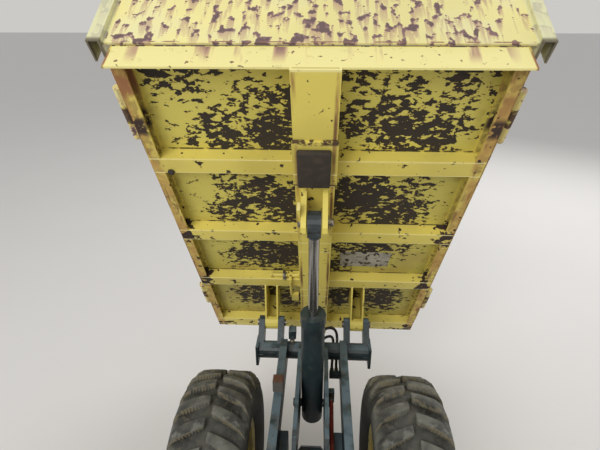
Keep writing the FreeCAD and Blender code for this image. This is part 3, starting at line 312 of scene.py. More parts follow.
# Studio: a wide pale floor that meets a pale background, lit by an even sky and two
# large soft lamps, one behind the seat and one ahead of the machine.
SKY_STRENGTH = 0.62
SKY_COLOUR = (0.97, 0.98, 1.0, 1)
BACKDROP_COLOUR = (0.60, 0.59, 0.57, 1)
FLOOR_SIZE = 120.0
LAMP_AIM = Vector((0, 0.4, 0.9))
LAMPS = [
    # name, place, size, watts
    ("lamp_behind", (-2.2, -4.6, 4.6), 4.0, 260),
    ("lamp_ahead", (3.2, 5.0, 4.2), 4.0, 170),
]
deselect()
bpy.ops.mesh.primitive_plane_add(size=FLOOR_SIZE)
floor = bpy.context.object
floor.name = "studio_floor"
floor_finish = Finish("studio_floor", (0.66, 0.64, 0.61), 0.9)
floor_finish.blotch(0.96, floor_finish.noise(1.5, 3))
floor.data.materials.append(floor_finish.done())
for name, place, size, watts in LAMPS:
    bpy.ops.object.light_add(type="AREA", location=place)
    lamp = bpy.context.object
    lamp.name = name
    lamp.data.shape = "DISK"
    lamp.data.size = size
    lamp.data.energy = watts
    aim = LAMP_AIM - Vector(place)
    lamp.rotation_euler = aim.to_track_quat("-Z", "Y").to_euler()
sky = bpy.data.worlds.new("studio_sky")
bpy.context.scene.world = sky
sky.use_nodes = True
sky.node_tree.nodes.clear()
rays, seen, shown, even, backdrop, either, whole_sky = [
    sky.node_tree.nodes.new("ShaderNode" + kind) for kind in (
        "LightPath", "Math", "Math", "Background", "Background", "MixShader", "OutputWorld")]
seen.operation = "MAXIMUM"
shown.operation = "MAXIMUM"
even.inputs["Color"].default_value = SKY_COLOUR
even.inputs["Strength"].default_value = SKY_STRENGTH
backdrop.inputs["Color"].default_value = BACKDROP_COLOUR
for start, end in (
        (rays.outputs["Is Camera Ray"], seen.inputs[0]),
        (rays.outputs["Is Glossy Ray"], seen.inputs[1]),
        (seen.outputs[0], shown.inputs[0]),
        (rays.outputs["Is Transmission Ray"], shown.inputs[1]),
        (shown.outputs[0], either.inputs[0]),
        (even.outputs[0], either.inputs[1]),
        (backdrop.outputs[0], either.inputs[2]),
        (either.outputs[0], whole_sky.inputs["Surface"])):
    sky.node_tree.links.new(start, end)


# Front frame: channel rails, plates, cross tube, hinge ears and the steering yoke, cut from
# steel plate, welded and brushed with dark blue-green paint, its upward faces painted paler: painted
# light from above.
def coat(material, *names):
    """Gives nodes of the frame a finish."""
    for name in names:
        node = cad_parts[name]
        node.data.materials.clear()
        node.data.materials.append(material)


def frame_paint(name, wear_and_painted_light=0.5, dusty=0.5, rusty=0.4):
    finish = Finish(name, (0.020, 0.034, 0.036), 0.42)
    finish.blotch(0.55, finish.noise(7, 4).rising(0.4, 0.7))
    # Upward faces get patches of paler blue: painted light from above.
    up = finish.along("Z", normal=True).rising(0.6, 0.95)
    finish.patches((0.105, 0.150, 0.175), (14, 5), (0.30, 0.56), wear_and_painted_light, 0.6, within=up)
    finish.patches((0.17, 0.145, 0.11), (30, 6), (0.5, 0.75), dusty, 0.9, within=up * 0.6 + 0.3,
                   shift=2)
    chips = finish.noise(55, 5, shift=7).rising(0.66, 0.70)
    finish.cover((0.085, 0.042, 0.022), chips * rusty, 0.85)
    return finish.done(0.0012, finish.noise(70, 5) - chips * 0.6)


front_paint = frame_paint("front_frame_paint", wear_and_painted_light=1.0)
coat(front_paint, "front_frame", "steering_bracket")

# Hinge pins and steering pivot: steel bars turned in a lathe and driven through the welded
# ears, greased, and worn bright where they show.
def worn_steel(name, grease=0.5, colour=(0.24, 0.21, 0.18)):
    finish = Finish(name, colour, 0.38, Metallic=0.75)
    finish.patches((0.035, 0.026, 0.018), (45, 5), (0.48, 0.62), grease, 0.55)
    finish.patches((0.13, 0.058, 0.025), (28, 5), (0.55, 0.7), 0.6, 0.85, shift=5)
    return finish.done(0.0006, finish.noise(160, 4))


pin_steel = worn_steel("greased_pin_steel")
coat(pin_steel, "hinge_pins", "kingpin")

# Rest block: a steel block on the left rail that the bed's frame comes down beside; its top is
# brown with rust and its faces are scuffed.
block_finish = Finish("rusted_block", (0.10, 0.088, 0.075), 0.8)
block_finish.patches((0.115, 0.048, 0.022), (60, 5), (0.25, 0.45), 1, 0.9,
                     within=block_finish.along("Z", normal=True).rising(0.4, 0.9))
coat(block_finish.done(0.0015, block_finish.noise(90, 6)), "rest_block")

# Axles: a cast drive bowl between two tubes, bolted up under the rails, painted with the frame
# and caked with dust and oil.
axle_paint = frame_paint("axle_paint", dusty=1.0, rusty=0.8)
coat(axle_paint, "front_axle", "rear_axle")

# Tyres: moulded rubber with swept lugs in two columns, half a pitch apart, on a rounded
# carcass. The backs of the lugs are ribbed, and dry mud sits between them.
LUGS_A_SIDE = 24
PITCH = 360.0 / LUGS_A_SIDE
STANDING = -1.59
CARCASS = [
    # radius, distance from the tyre's middle
    (0.1945, -0.098), (0.204, -0.108), (0.222, -0.118), (0.255, -0.132), (0.290, -0.1375),
    (0.318, -0.134), (0.338, -0.120), (0.350, -0.095), (0.3545, -0.050), (0.3555, 0.0),
    (0.3545, 0.050), (0.350, 0.095), (0.338, 0.120), (0.318, 0.134), (0.290, 0.1375),
    (0.255, 0.132), (0.222, 0.118), (0.204, 0.108), (0.1945, 0.098),
]
LUG = [
    # from the tyre's middle, trail behind the inner end, top's radius, width
    (0.008, 0.000, 0.3790, 0.036), (0.040, 0.012, 0.3785, 0.040), (0.070, 0.025, 0.3760, 0.043),
    (0.094, 0.036, 0.3720, 0.045), (0.114, 0.045, 0.3580, 0.045), (0.128, 0.051, 0.3330, 0.043),
    (0.1345, 0.054, 0.3040, 0.040),
]
LUG_DEPTH = 0.034
LUG_ROUNDING = 0.004
LUG_RIBS = 8
# across, trail, the lug's width there and height of the innermost and the outermost rib
FIRST_RIB = (0.018, 0.003, 0.0370, 0.3635)
LAST_RIB = (0.098, 0.037, 0.0455, 0.3595)
LUG_RIB_SIZE = (0.0042, 0.0045, 0.020)


def alone(piece):
    """Selects one piece and nothing else."""
    deselect()
    piece.select_set(True)
    bpy.context.view_layer.objects.active = piece


def apply_place():
    """Puts the place, turn and scale of what is selected into its mesh."""
    bpy.ops.object.transform_apply(location=True, rotation=True, scale=True)


def own(name):
    """The piece just added, under its own name."""
    piece = bpy.context.object
    piece.name = name
    piece.data.name = name
    return piece


def edit(kind="EDGE"):
    """Opens the piece in edit mode with all of its elements selected."""
    bpy.ops.object.mode_set(mode="EDIT")
    bpy.ops.mesh.select_mode(type=kind)
    bpy.ops.mesh.select_all(action="SELECT")


def leave():
    """Closes the edit with every face pointing outwards."""
    bpy.ops.mesh.select_mode(type="FACE")
    bpy.ops.mesh.select_all(action="SELECT")
    bpy.ops.mesh.remove_doubles(threshold=1e-5)
    bpy.ops.mesh.normals_make_consistent(inside=False)
    bpy.ops.object.mode_set(mode="OBJECT")


def choose(test):
    """Selects the faces whose middle and normal pass a test, in edit mode."""
    shape = bmesh.from_edit_mesh(bpy.context.object.data)
    for face in shape.faces:
        face.select_set(bool(test(face.calc_center_median(), face.normal)))
    bmesh.update_edit_mesh(bpy.context.object.data)


def pull(step):
    """Extrudes what is selected by one step."""
    bpy.ops.mesh.extrude_region_move(TRANSFORM_OT_translate={"value": step})


def turned(name, outline, sides=48, capped=True):
    """A piece turned about Z, from radius and height; drawn ring by ring from the first."""
    deselect()
    radius, height = outline[0]
    bpy.ops.mesh.primitive_circle_add(
        vertices=sides, radius=radius, location=(0, 0, height),
        fill_type="NGON" if capped else "NOTHING")
    piece = own(name)
    apply_place()
    edit()
    for after, level in outline[1:]:
        pull((0, 0, level - height))
        ratio = after / radius
        bpy.ops.transform.resize(value=(ratio, ratio, 1), center_override=(0, 0, level))
        radius, height = after, level
    leave()
    return piece


def settle(piece, place=(0, 0, 0), turn=(0, 0, 0), smooth=35):
    """Puts a piece drawn at the origin in its place, and leaves its object at the origin."""
    piece.matrix_world = (Matrix.Translation(place)
                          @ Euler([math.radians(a) for a in turn]).to_matrix().to_4x4()
                          @ piece.matrix_world)
    alone(piece)
    apply_place()
    bpy.ops.object.shade_smooth_by_angle(angle=math.radians(smooth))
    return piece


def rounded(piece, width, segments=2, angle=30):
    """Rounds a piece's edges, as a casting's or a mould's are."""
    bevel = piece.modifiers.new("rounding", "BEVEL")
    bevel.width = width
    bevel.segments = segments
    bevel.limit_method = "ANGLE"
    bevel.angle_limit = math.radians(angle)
    alone(piece)
    bpy.ops.object.modifier_apply(modifier=bevel.name)
    return piece


def copied(piece, matrix):
    """A copy of a piece, with a mesh of its own, moved by a matrix."""
    twin = piece.copy()
    twin.data = piece.data.copy()
    twin.matrix_world = matrix @ piece.matrix_world
    bpy.context.collection.objects.link(twin)
    return twin


def joined(name, parts):
    """One piece from several, with its object at the origin."""
    deselect()
    for part in parts:
        part.select_set(True)
    bpy.context.view_layer.objects.active = parts[0]
    if len(parts) > 1:
        bpy.ops.object.join()
    whole = own(name)
    apply_place()
    return whole


def fitted(piece, body, slot, material, *nodes):
    """Gives a finished piece its finish and its body, and hides the nodes that it stands for."""
    piece.data.materials.clear()
    piece.data.materials.append(material)
    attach(piece, body)
    if nodes:
        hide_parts(*nodes)
    return piece


def middle_of(node):
    """The middle of a CAD node's box."""
    low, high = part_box(node)
    return [(a + b) / 2 for a, b in zip(low, high)]


def tyre_lug():
    """One lug of the right column, at the top of the tyre, lofted from its inner end out."""
    across, trail, top, width = LUG[0]
    deselect()
    bpy.ops.mesh.primitive_plane_add(
        size=1, location=(across, -trail, top - LUG_DEPTH / 2), rotation=(0, math.radians(90), 0))
    lug = own("tyre_lug")
    lug.scale = (LUG_DEPTH, width, 1)
    apply_place()
    edit("FACE")
    for after, trails, reach, wide in LUG[1:]:
        pull((after - across, trail - trails, reach - top))
        bpy.ops.transform.resize(value=(1, wide / width, 1),
                                 center_override=(after, -trails, reach))
        across, trail, top, width = after, trails, reach, wide
    leave()
    return rounded(lug, LUG_ROUNDING)


def lug_ribs():
    """The fine upright ribs on the back of a lug."""
    ribs = []
    for step in range(LUG_RIBS):
        share = (step + 0.5) / LUG_RIBS
        across, trail, width, high = [a + (b - a) * share for a, b in zip(FIRST_RIB, LAST_RIB)]
        deselect()
        bpy.ops.mesh.primitive_cube_add(
            size=1, location=(across, -trail - width / 2, high), scale=LUG_RIB_SIZE)
        apply_place()
        ribs.append(own("lug_rib"))
    return ribs


def tyre_material(name, centre):
    """Rubber gone grey, with painted shade low on the lugs' walls and on the carcass between them,
    and dry mud there and on the backs of the lugs.
    """
    finish = Finish(name, (0.030, 0.030, 0.026), 0.72, centre=centre)
    flat = finish.add("ShaderNodeVectorMath", {"operation": "MULTIPLY"},
                      {0: finish.place, 1: (0, 1, 1)})
    radius = finish.add("ShaderNodeVectorMath", {"operation": "LENGTH"}, {0: flat}, 1)
    outward = finish.along("X").size()
    tread = radius.rising(0.290, 0.335)
    wear_and_painted_light = tread * finish.noise(13, 6).rising(0.30, 0.62)
    finish.cover((0.140, 0.138, 0.112), wear_and_painted_light * 0.92, 0.85)
    finish.patches((0.215, 0.210, 0.180), (34, 6), (0.52, 0.72), 0.6, 0.88, within=tread, shift=2)
    finish.patches((0.046, 0.044, 0.032), (18, 5), (0.4, 0.7), 1, 0.9, within=1 - tread, shift=6)
    back = (finish.along("Z", normal=True) * finish.along("Y")
            - finish.along("Y", normal=True) * finish.along("Z")) / radius
    caked = back.rising(0.35, 0.75) * tread
    finish.patches((0.195, 0.165, 0.100), (42, 6), (0.36, 0.60), 0.85, 0.95, within=caked, shift=4)
    # Painted shade low on the lugs' walls and on the carcass between them, with dry mud in it.
    low = radius.rising(0.362, 0.352) * tread * outward.rising(0.125, 0.100)
    finish.blotch(0.45, low)
    finish.patches((0.110, 0.096, 0.064), (60, 5), (0.52, 0.68), 0.6, 0.95, within=low, shift=9)
    return finish.done(0.0012, finish.noise(80, 6) + finish.noise(260, 3) * 0.4)


carcass = turned("tyre_carcass", CARCASS, sides=90, capped=False)
carcass.matrix_world = Matrix.Rotation(math.radians(90), 4, "Y")
right_lug = joined("lug_with_ribs", [tyre_lug()] + lug_ribs())
left_lug = copied(right_lug, Matrix.Scale(-1, 4, (1, 0, 0)))
alone(left_lug)
apply_place()
edit("FACE")
leave()
lugs = []
for count in range(LUGS_A_SIDE):
    for lug, half in ((left_lug, 0.0), (right_lug, 0.5)):
        turn = Matrix.Rotation(math.radians((count + half) * PITCH + STANDING), 4, "X")
        lugs.append(copied(lug, turn))
bpy.data.objects.remove(left_lug)
bpy.data.objects.remove(right_lug)
tyre_model = joined("tyre_model", [carcass] + lugs)
WHEELS = ("front_left", "front_right", "rear_left", "rear_right")
for corner in WHEELS:
    hub = middle_of("tyre_" + corner)
    tyre = copied(tyre_model, Matrix.Identity(4))
    tyre.name = "lugged_tyre_" + corner
    settle(tyre, hub)
    fitted(tyre, "wheel_" + corner, "tyre_rubber",
           tyre_material("tyre_rubber_" + corner, hub), "tyre_" + corner)
bpy.data.objects.remove(tyre_model)

# Wheel rims: rolled steel barrels with a pressed disc, welded in, and a hub with a ring of
# nuts. They are yellow under the dust, with rust round the nuts.
RIM = [
    # radius, distance outside the tyre's middle: the barrel with its two flanges
    (0.178, -0.100), (0.193, -0.105), (0.199, -0.108), (0.200, -0.104), (0.192, -0.096),
    (0.184, -0.070), (0.180, -0.040), (0.178, 0.000), (0.180, 0.040), (0.184, 0.070),
    (0.192, 0.096), (0.200, 0.104), (0.199, 0.108), (0.193, 0.105), (0.178, 0.100),
    (0.172, 0.060), (0.170, 0.0), (0.172, -0.060), (0.178, -0.100),
]
DISC = [
    # radius, distance outside the tyre's middle: the dished disc and the hub's cap
    (0.028, -0.057), (0.060, -0.057), (0.062, -0.004), (0.092, 0.006), (0.120, 0.018),
    (0.150, 0.026), (0.178, 0.030), (0.178, 0.036), (0.150, 0.034), (0.118, 0.027),
    (0.090, 0.016), (0.066, 0.012), (0.058, 0.020), (0.050, 0.036), (0.034, 0.041),
    (0.010, 0.042),
]
NUTS = 6
NUT_CIRCLE = 0.086
NUT_SEAT = 0.013


def sheet_paint(name, colour=(0.60, 0.47, 0.12), rusty=0.5, dusty=0.4, turn=0.0,
                centre=(0, 0, 0)):
    finish = Finish(name, colour, 0.48, turn=turn, centre=centre)
    finish.blotch(0.82, finish.noise(3.5, 4).rising(0.4, 0.65))
    finish.patches((0.24, 0.19, 0.12), (12, 6), (0.5, 0.8), dusty, 0.8, shift=3)
    spots = finish.noise(34, 6, shift=8).rising(0.64, 0.70)
    finish.cover((0.125, 0.050, 0.022), spots * rusty, 0.9)
    return finish.done(0.0010, finish.noise(60, 5) * 0.6 - spots * 0.5)


def nut(size=0.017, height=0.014):
    """A hexagonal nut on a short end of its bolt."""
    deselect()
    bpy.ops.mesh.primitive_cylinder_add(
        vertices=6, radius=size, depth=height, location=(0, 0, height / 2))
    head = own("nut")
    apply_place()
    edit("FACE")
    choose(lambda middle, normal: normal.z > 0.9)
    bpy.ops.mesh.inset(thickness=size * 0.38, depth=0)
    pull((0, 0, height * 0.5))
    leave()
    return rounded(head, size * 0.08, segments=1)


rim_parts = [turned("rim_barrel", RIM, 64, capped=False), turned("rim_disc", DISC, 64)]
wheel_nut = nut()
for count in range(NUTS):
    around = math.radians(360 / NUTS * count)
    rim_parts.append(copied(wheel_nut, Matrix.Translation((
        NUT_CIRCLE * math.cos(around), NUT_CIRCLE * math.sin(around), NUT_SEAT))))
bpy.data.objects.remove(wheel_nut)
rim_model = joined("rim_model", rim_parts)
for corner in WHEELS:
    hub = middle_of("tyre_" + corner)
    rim = copied(rim_model, Matrix.Identity(4))
    rim.name = "dished_rim_" + corner
    settle(rim, hub, (0, 90 if corner.endswith("right") else -90, 0))
    fitted(rim, "wheel_" + corner, "panel_paint",
           sheet_paint("rim_paint_" + corner, dusty=0.9, centre=hub), "rim_" + corner)
bpy.data.objects.remove(rim_model)

# Bed floor: one steel sheet, yellow below with the paint knocked off in ragged patches in the
# middle of each panel, and scoured to brown steel on the load side.
TIP = 60.0
HINGE = (0.0, FRONT_AXLE_Y + 0.558, 0.680)
UNDERSIDE = 0.151
LOAD_SIDE = 0.154
SPINE_HALF = 0.062
RIBS = (-0.966, -0.576, -0.200, 0.250)
PEELED = [
    # across, along the bed, reach, how bare
    (-0.20, -1.19, 0.12, 0.6), (-0.26, -1.04, 0.14, 1.2), (-0.12, -1.07, 0.15, 1.4),
    (-0.09, -1.20, 0.06, 1.0), (-0.42, -1.12, 0.10, 0.3), (-0.36, -1.03, 0.08, 0.8),
    (-0.40, -1.31, 0.12, 1.5), (-0.26, -1.32, 0.06, 0.9), (-0.30, -1.20, 0.10, 0.5),
    (0.24, -1.10, 0.14, 1.4), (0.36, -1.12, 0.14, 1.1), (0.32, -1.02, 0.13, 1.3),
    (0.42, -1.24, 0.11, 1.0), (0.11, -1.13, 0.09, 1.2), (0.22, -1.26, 0.10, 0.7),
    (0.41, -1.32, 0.11, 1.3), (0.11, -1.30, 0.08, 1.0), (-0.21, -0.77, 0.14, 1.2),
    (-0.10, -0.72, 0.14, 1.7), (-0.30, -0.67, 0.12, 1.1), (0.16, -0.77, 0.15, 1.8),
    (0.28, -0.68, 0.15, 1.5), (0.33, -0.82, 0.10, 0.8), (-0.22, -0.38, 0.15, 1.5),
    (-0.10, -0.38, 0.12, 1.9), (-0.33, -0.33, 0.10, 0.9), (0.20, -0.47, 0.16, 1.6),
    (0.34, -0.48, 0.10, 1.0), (0.09, -0.30, 0.09, 1.4), (-0.28, 0.00, 0.15, 1.4),
    (-0.12, 0.05, 0.12, 1.3), (0.14, 0.02, 0.12, 1.5), (0.32, 0.02, 0.16, 1.5),
]
YELLOW = (0.66, 0.57, 0.115)
BARE = (0.031, 0.0225, 0.0150)
RUST = (0.115, 0.045, 0.020)
SCRAPES = [
    # across, from, to along the bed
    (-0.315, -0.90, -0.64), (-0.285, -0.90, -0.62), (0.345, -0.93, -0.66), (0.19, -1.28, -1.14),
    (0.42, -1.26, -0.99),
]
SCRAPE_FADE = 0.02
# how far from a weld line the paint is thin, and gone
WELD = (0.005, 0.002)
WELD_BESIDE = 0.003
RIB_HALF = 0.031


def bed_finish(name, colour=YELLOW):
    finish = Finish(name, colour, 0.50, turn=-TIP, centre=HINGE)
    finish.blotch(0.84, finish.noise(2.6, 3, shift=1).rising(0.42, 0.68))
    return finish


def bare_patch(finish, across, along, reach, amount):
    """How near a point is to the middle of a patch, from 0 to the patch's amount."""
    distance = finish.add("ShaderNodeVectorMath", {"operation": "DISTANCE"}, {
        0: finish.place, 1: (across, along, UNDERSIDE)}, 1)
    return distance.rising(reach * 1.35, reach * 0.25) * amount


peeling = bed_finish("peeled_bed_paint")
across = peeling.along("X")
along = peeling.along("Y")
level = peeling.along("Z")
bare = None
for row in PEELED:
    patch = bare_patch(peeling, *row)
    bare = patch if bare is None else bare.larger(patch)
inboard = across.size().rising(0.47, 0.34)
# The floor is painted darker towards the hinge end, with darker ochre patches over its front part.
peeling.blotch(0.80, along.rising(-0.60, -0.10))
peeling.patches((0.40, 0.29, 0.075), (7, 4), (0.45, 0.65), 0.55, 0.6,
                within=along.rising(-0.95, -0.30), shift=30)
clumps = peeling.noise(17, 3.0, stretch=(1, 1.0, 0), distortion=0.3)
flakes = peeling.noise(48, 2.5, stretch=(0.75, 1.15, 0), shift=5.0, distortion=0.2)
specks = peeling.noise(150, 3.0, stretch=(0.8, 1.2, 0), shift=9.0)
ragged = clumps * 0.30 + flakes * 0.50 + specks * 0.20
ragged = ragged + bare * 0.088 + inboard * 0.032
peel = ragged.rising(0.602, 0.613)
for place, first, last in SCRAPES:
    wander = peeling.noise(5, 2, shift=place * 10) * 0.06 - 0.03
    line = (across + wander).near(place, 0.007, 0.003)
    half = (last - first) / 2
    reach = along.near((first + last) / 2, half + SCRAPE_FADE, half - SCRAPE_FADE)
    peel = peel.larger(line * reach * peeling.noise(60, 3).rising(0.44, 0.54))
halo = ragged.rising(0.585, 0.606)
peeling.cover((0.36, 0.215, 0.050), halo * 0.45, 0.7)
sill_rust = (across.size().rising(0.43, 0.50)
             * peeling.noise(16, 5, shift=12).rising(0.50, 0.66))
peeling.cover((0.24, 0.12, 0.03), sill_rust * 0.6, 0.8)
weld = across.size().near(SPINE_HALF + WELD_BESIDE, *WELD)
for place in RIBS:
    weld = weld.larger(along.near(place - RIB_HALF - WELD_BESIDE, *WELD))
weld = weld * peeling.noise(25, 4, shift=17).rising(0.40, 0.52)
peel = peel.larger(weld * 0.9)
peeling.cover(BARE, peel, 0.82)
peeling.patches((0.060, 0.033, 0.020), (30, 4), (0.55, 0.75), 1, 0.9, within=peel, shift=6)
load = level.rising(LOAD_SIDE - 0.001, LOAD_SIDE)
scour = peeling.noise(9, 7, stretch=(1, 0.25, 1), shift=15)
peeling.cover((0.105, 0.075, 0.055), load * scour.rising(0.28, 0.50), 0.7)
peeling.patches((0.17, 0.075, 0.035), (14, 6), (0.5, 0.66), 1, 0.9, within=load, shift=20)
coat(peeling.done(0.0009, peeling.noise(50, 5) * 0.35 - peel), "bed_floor")

# Bed frame: sills, ribs and spine folded from sheet and welded under the floor, with the
# clevis, legs and hinge knuckles. Yellow, rusting at the sills, the rib ends and the corners.
# Yellow painted lighter, as if in sunlight: painted light for the headboard and the frame's rear web.
PAINTED_SUNLIGHT_YELLOW = (0.83, 0.74, 0.30)
REAR_EDGE = -1.356
SPINE_CORNER = 0.054
PAD_PLATE = (-1.125, -0.948)
CLOUDS = 40.0


def run_down(finish, down, density=0.0):
    """Purple-brown rust spots with paler stains that have run down from them."""
    middle = finish.along("X").size().rising(0.52, 0.15) * 0.034
    lift = middle + density
    spots = finish.noise(CLOUDS, 2, shift=11, stretch=(1, 1, 0.8)) + lift
    stain = spots.rising(0.600, 0.625)
    for step in range(1, 8):
        slid = finish.noise(CLOUDS, 2, shift=11, stretch=(1, 1, 0.8),
                            slide=[a * 0.008 * step for a in down]) + lift
        stain = stain.larger(slid.rising(0.604 + 0.006 * step, 0.630 + 0.006 * step)
                             * (1.0 - 0.10 * step))
    fine = finish.noise(90, 2, shift=21, stretch=(1, 1, 0.25))
    stain = stain * fine.rising(0.30, 0.50)
    finish.cover((0.43, 0.255, 0.190), stain * 0.80, 0.7)
    finish.cover((0.225, 0.130, 0.132), spots.rising(0.604, 0.634) * 0.9, 0.85)
    finish.cover((0.120, 0.080, 0.080), spots.rising(0.645, 0.690) * 0.8, 0.9)
    finish.raise_by(spots.rising(0.612, 0.640) * -0.5)


folded = bed_finish("bed_frame_paint", (0.74, 0.61, 0.125))
across = folded.along("X")
along = folded.along("Y")
level = folded.along("Z")
edge = across.size()
folded.patches((0.15, 0.085, 0.035), (40, 4), (0.42, 0.60), 0.55, 0.85,
               within=edge.near(0.500, 0.020, 0.012))
sills = edge.rising(0.470, 0.484)
streaks = folded.noise(20, 5, stretch=(1, 0.3, 1), shift=2)
folded.cover((0.47, 0.27, 0.075), sills * level.rising(0.112, 0.108)
                   * (streaks.rising(0.36, 0.60) * 0.75 + 0.15), 0.75)
folded.patches((0.20, 0.090, 0.030), (46, 5), (0.56, 0.66), 0.7, 0.85,
               within=sills * level.rising(0.112, 0.108), stretch=(1, 0.22, 1), shift=52)
spine_line = edge.near(SPINE_CORNER, 0.008, 0.001) * level.rising(0.0625, 0.0605)
drips = folded.noise(30, 5, stretch=(1, 0.16, 1))
folded.cover((0.36, 0.205, 0.055), spine_line * drips.rising(0.38, 0.55) * 0.85, 0.75)
folded.cover((0.13, 0.055, 0.022), spine_line * drips.rising(0.52, 0.62) * 0.8, 0.85)
# A dark brown line along the edges of the pad's plate on the spine: painted shadow of the plate's
# raised edges.
plate_edge = along.near(PAD_PLATE[0], 0.012, 0.003).larger(along.near(PAD_PLATE[1], 0.008, 0.002))
plate_edge = plate_edge * edge.rising(0.068, 0.062) * level.rising(0.064, 0.062)
folded.patches((0.075, 0.040, 0.022), (48, 4), (0.42, 0.52), 1, 0.9, within=plate_edge, shift=50)
spots = folded.noise(64, 4, shift=9).rising(0.715, 0.735)
folded.cover(RUST, spots * 0.9, 0.9)
clumps = None
for place in RIBS[1:3]:
    rib_end = along.near(place - 0.01, 0.08, 0.02) * edge.rising(0.42, 0.48)
    clumps = rib_end if clumps is None else clumps.larger(rib_end)
corner = along.rising(0.215, 0.285) * edge.rising(0.40, 0.47)
front_edge = along.rising(0.255, 0.300) * 0.55
clumps = clumps.larger(corner).larger(front_edge)
lumps = (folded.noise(34, 6, shift=4) + clumps * 0.20 - 0.045).rising(0.60, 0.63)
folded.cover((0.042, 0.024, 0.017), lumps, 0.95)
knuckles = edge.rising(0.518, 0.522)
folded.patches((0.080, 0.048, 0.028), (50, 4), (0.30, 0.5), 1, 0.85, within=knuckles)
# Pale lines along the lower edges of each rib: a painted edge highlight, standing also for paint worn
# off the edges.
for place in RIBS:
    wear_and_painted_light = (along.near(place - RIB_HALF, 0.004, 0.001)
            .larger(along.near(place + RIB_HALF, 0.0035, 0.001)))
    folded.cover((0.90, 0.80, 0.36), wear_and_painted_light * level.rising(0.110, 0.107) * 0.75, 0.4)
rust_edge = (edge - 0.512).rising(0.0, 0.002) * level.rising(0.140, 0.110)
folded.patches((0.19, 0.090, 0.040), (22, 4), (0.38, 0.54), 1, 0.9, within=rust_edge,
               stretch=(1, 0.4, 1), shift=41)
rear_rust = along.rising(-1.14, -1.26) * sills
folded.patches((0.30, 0.135, 0.050), (18, 5), (0.40, 0.56), 1, 0.85, within=rear_rust,
               stretch=(1, 0.5, 1), shift=44)
clumped = edge.near(0.50, 0.03, 0.01) * along.near(-1.13, 0.05, 0.02)
folded.patches((0.045, 0.025, 0.018), (40, 4), (0.40, 0.46), 1, 0.9, within=clumped, shift=47)
# The rear web is painted in the lighter, sunlit yellow: painted light.
web = along.rising(REAR_EDGE + 0.008, REAR_EDGE + 0.004)
folded.cover(PAINTED_SUNLIGHT_YELLOW, web * edge.rising(0.512, 0.508), 0.46)
washed = folded.noise(17, 4, stretch=(1, 0.1, 0.10), shift=60)
folded.cover((0.46, 0.27, 0.185), web * edge.rising(0.50, 0.44)
                   * washed.rising(0.55, 0.62) * level.rising(0.075, 0.130) * 0.9, 0.6)
folded.cover((0.24, 0.135, 0.125), web * edge.rising(0.48, 0.40) * washed.rising(0.60, 0.66)
                   * level.rising(0.105, 0.150) * 0.9, 0.8)
folded.patches((0.16, 0.085, 0.055), (60, 4), (0.66, 0.70), 0.9, 0.85, within=web, shift=63)
frame_coat = folded.done(0.0012, folded.noise(70, 5) * 0.3 + lumps * 0.8 - spots * 0.5)
coat(frame_coat, "bed_frame")

# Headboard and gates: folded sheet on hinges, with pale patches in the paint, the headboard's
# yellow painted lighter as if in sunlight, and with purple-brown spots that have run down in
# streaks from the bolts and the weld lines.
POST_INNER = 0.530
POST_MIDDLE = 0.554
SEAM_LEVEL = 0.1615


def panel_finish(name, colour=PAINTED_SUNLIGHT_YELLOW, density=0.0):
    finish = Finish(name, colour, 0.46, turn=-TIP, centre=HINGE)
    finish.blotch(0.90, finish.noise(2.2, 4).rising(0.42, 0.66))
    finish.patches((0.70, 0.70, 0.50), (6, 4), (0.45, 0.7), 0.35, shift=2)
    run_down(finish, (0, 0, -1), density)
    finish.raise_by(finish.noise(60, 5) * 0.4)
    return finish


board = panel_finish("headboard_paint", density=0.012)
side = board.along("X").size()
posts = side.rising(POST_INNER, POST_INNER + 0.005)
board.cover((0.66, 0.66, 0.42), posts * 0.75, 0.6)
foot = board.along("Z").rising(0.165, 0.150)
board.cover((0.075, 0.058, 0.042), posts * foot * 0.85, 0.85)
# The inside of each post's channel is painted near black: painted shade in the recess.
channel = side.near(POST_MIDDLE, 0.0125, 0.0115) * board.along("Y").rising(-1.374, -1.372)
board.cover((0.052, 0.046, 0.036), channel * 0.9, 0.9)
seam = board.along("Z").near(SEAM_LEVEL, 0.0032, 0.001)
board.patches((0.27, 0.135, 0.095), (14, 3), (0.47, 0.55), 1, 0.85, within=seam * (1 - posts),
              stretch=(1, 1, 0), shift=31)
coat(board.done(0.0008), "headboard")
gate_paint = panel_finish("gate_paint", (0.72, 0.60, 0.20), density=0.0)
coat(gate_paint.done(0.0008), "gate_left", "gate_right", "gate_front")

# Rubber pad: a thick block of moulded rubber that is glued and screwed to its plate on the
# spine, so that the bed comes down softly on the frame.
PAD_SIZE = (0.098, 0.150, 0.020)
PAD_PLACE = (-0.003, -1.030, 0.041)


def on_bed(piece):
    """Lays a piece that is drawn on the level bed, from the hinge, onto the tipped bed."""
    piece.matrix_world = (Matrix.Translation(HINGE)
                          @ Matrix.Rotation(math.radians(-TIP), 4, "X") @ piece.matrix_world)
    return settle(piece)


def block(name, place, size, round_by=0.003, segments=2):
    """A block with eased edges."""
    deselect()
    bpy.ops.mesh.primitive_cube_add(size=1, location=place, scale=size)
    piece = own(name)
    apply_place()
    return rounded(piece, round_by, segments)


pad_rubber = Finish("pad_rubber", (0.032, 0.025, 0.017), 0.8, turn=-TIP, centre=HINGE)
pad_rubber.patches((0.075, 0.050, 0.032), (30, 6), (0.45, 0.7), 0.6, 0.9)
pad_rubber.raise_by(pad_rubber.noise(90, 6))
pad = on_bed(block("rubber_buffer", PAD_PLACE, PAD_SIZE, 0.006, 3))
fitted(pad, "bed", "black_rubber", pad_rubber.done(0.0012), "rubber_pad")

# Pins under the bed: the clevis pin with a keeper plate and a washer, the collar of the bed's
# lock and a rubber bump on the first rib. All are turned or cut from bar.
CLEVIS_SIDE = 0.0422
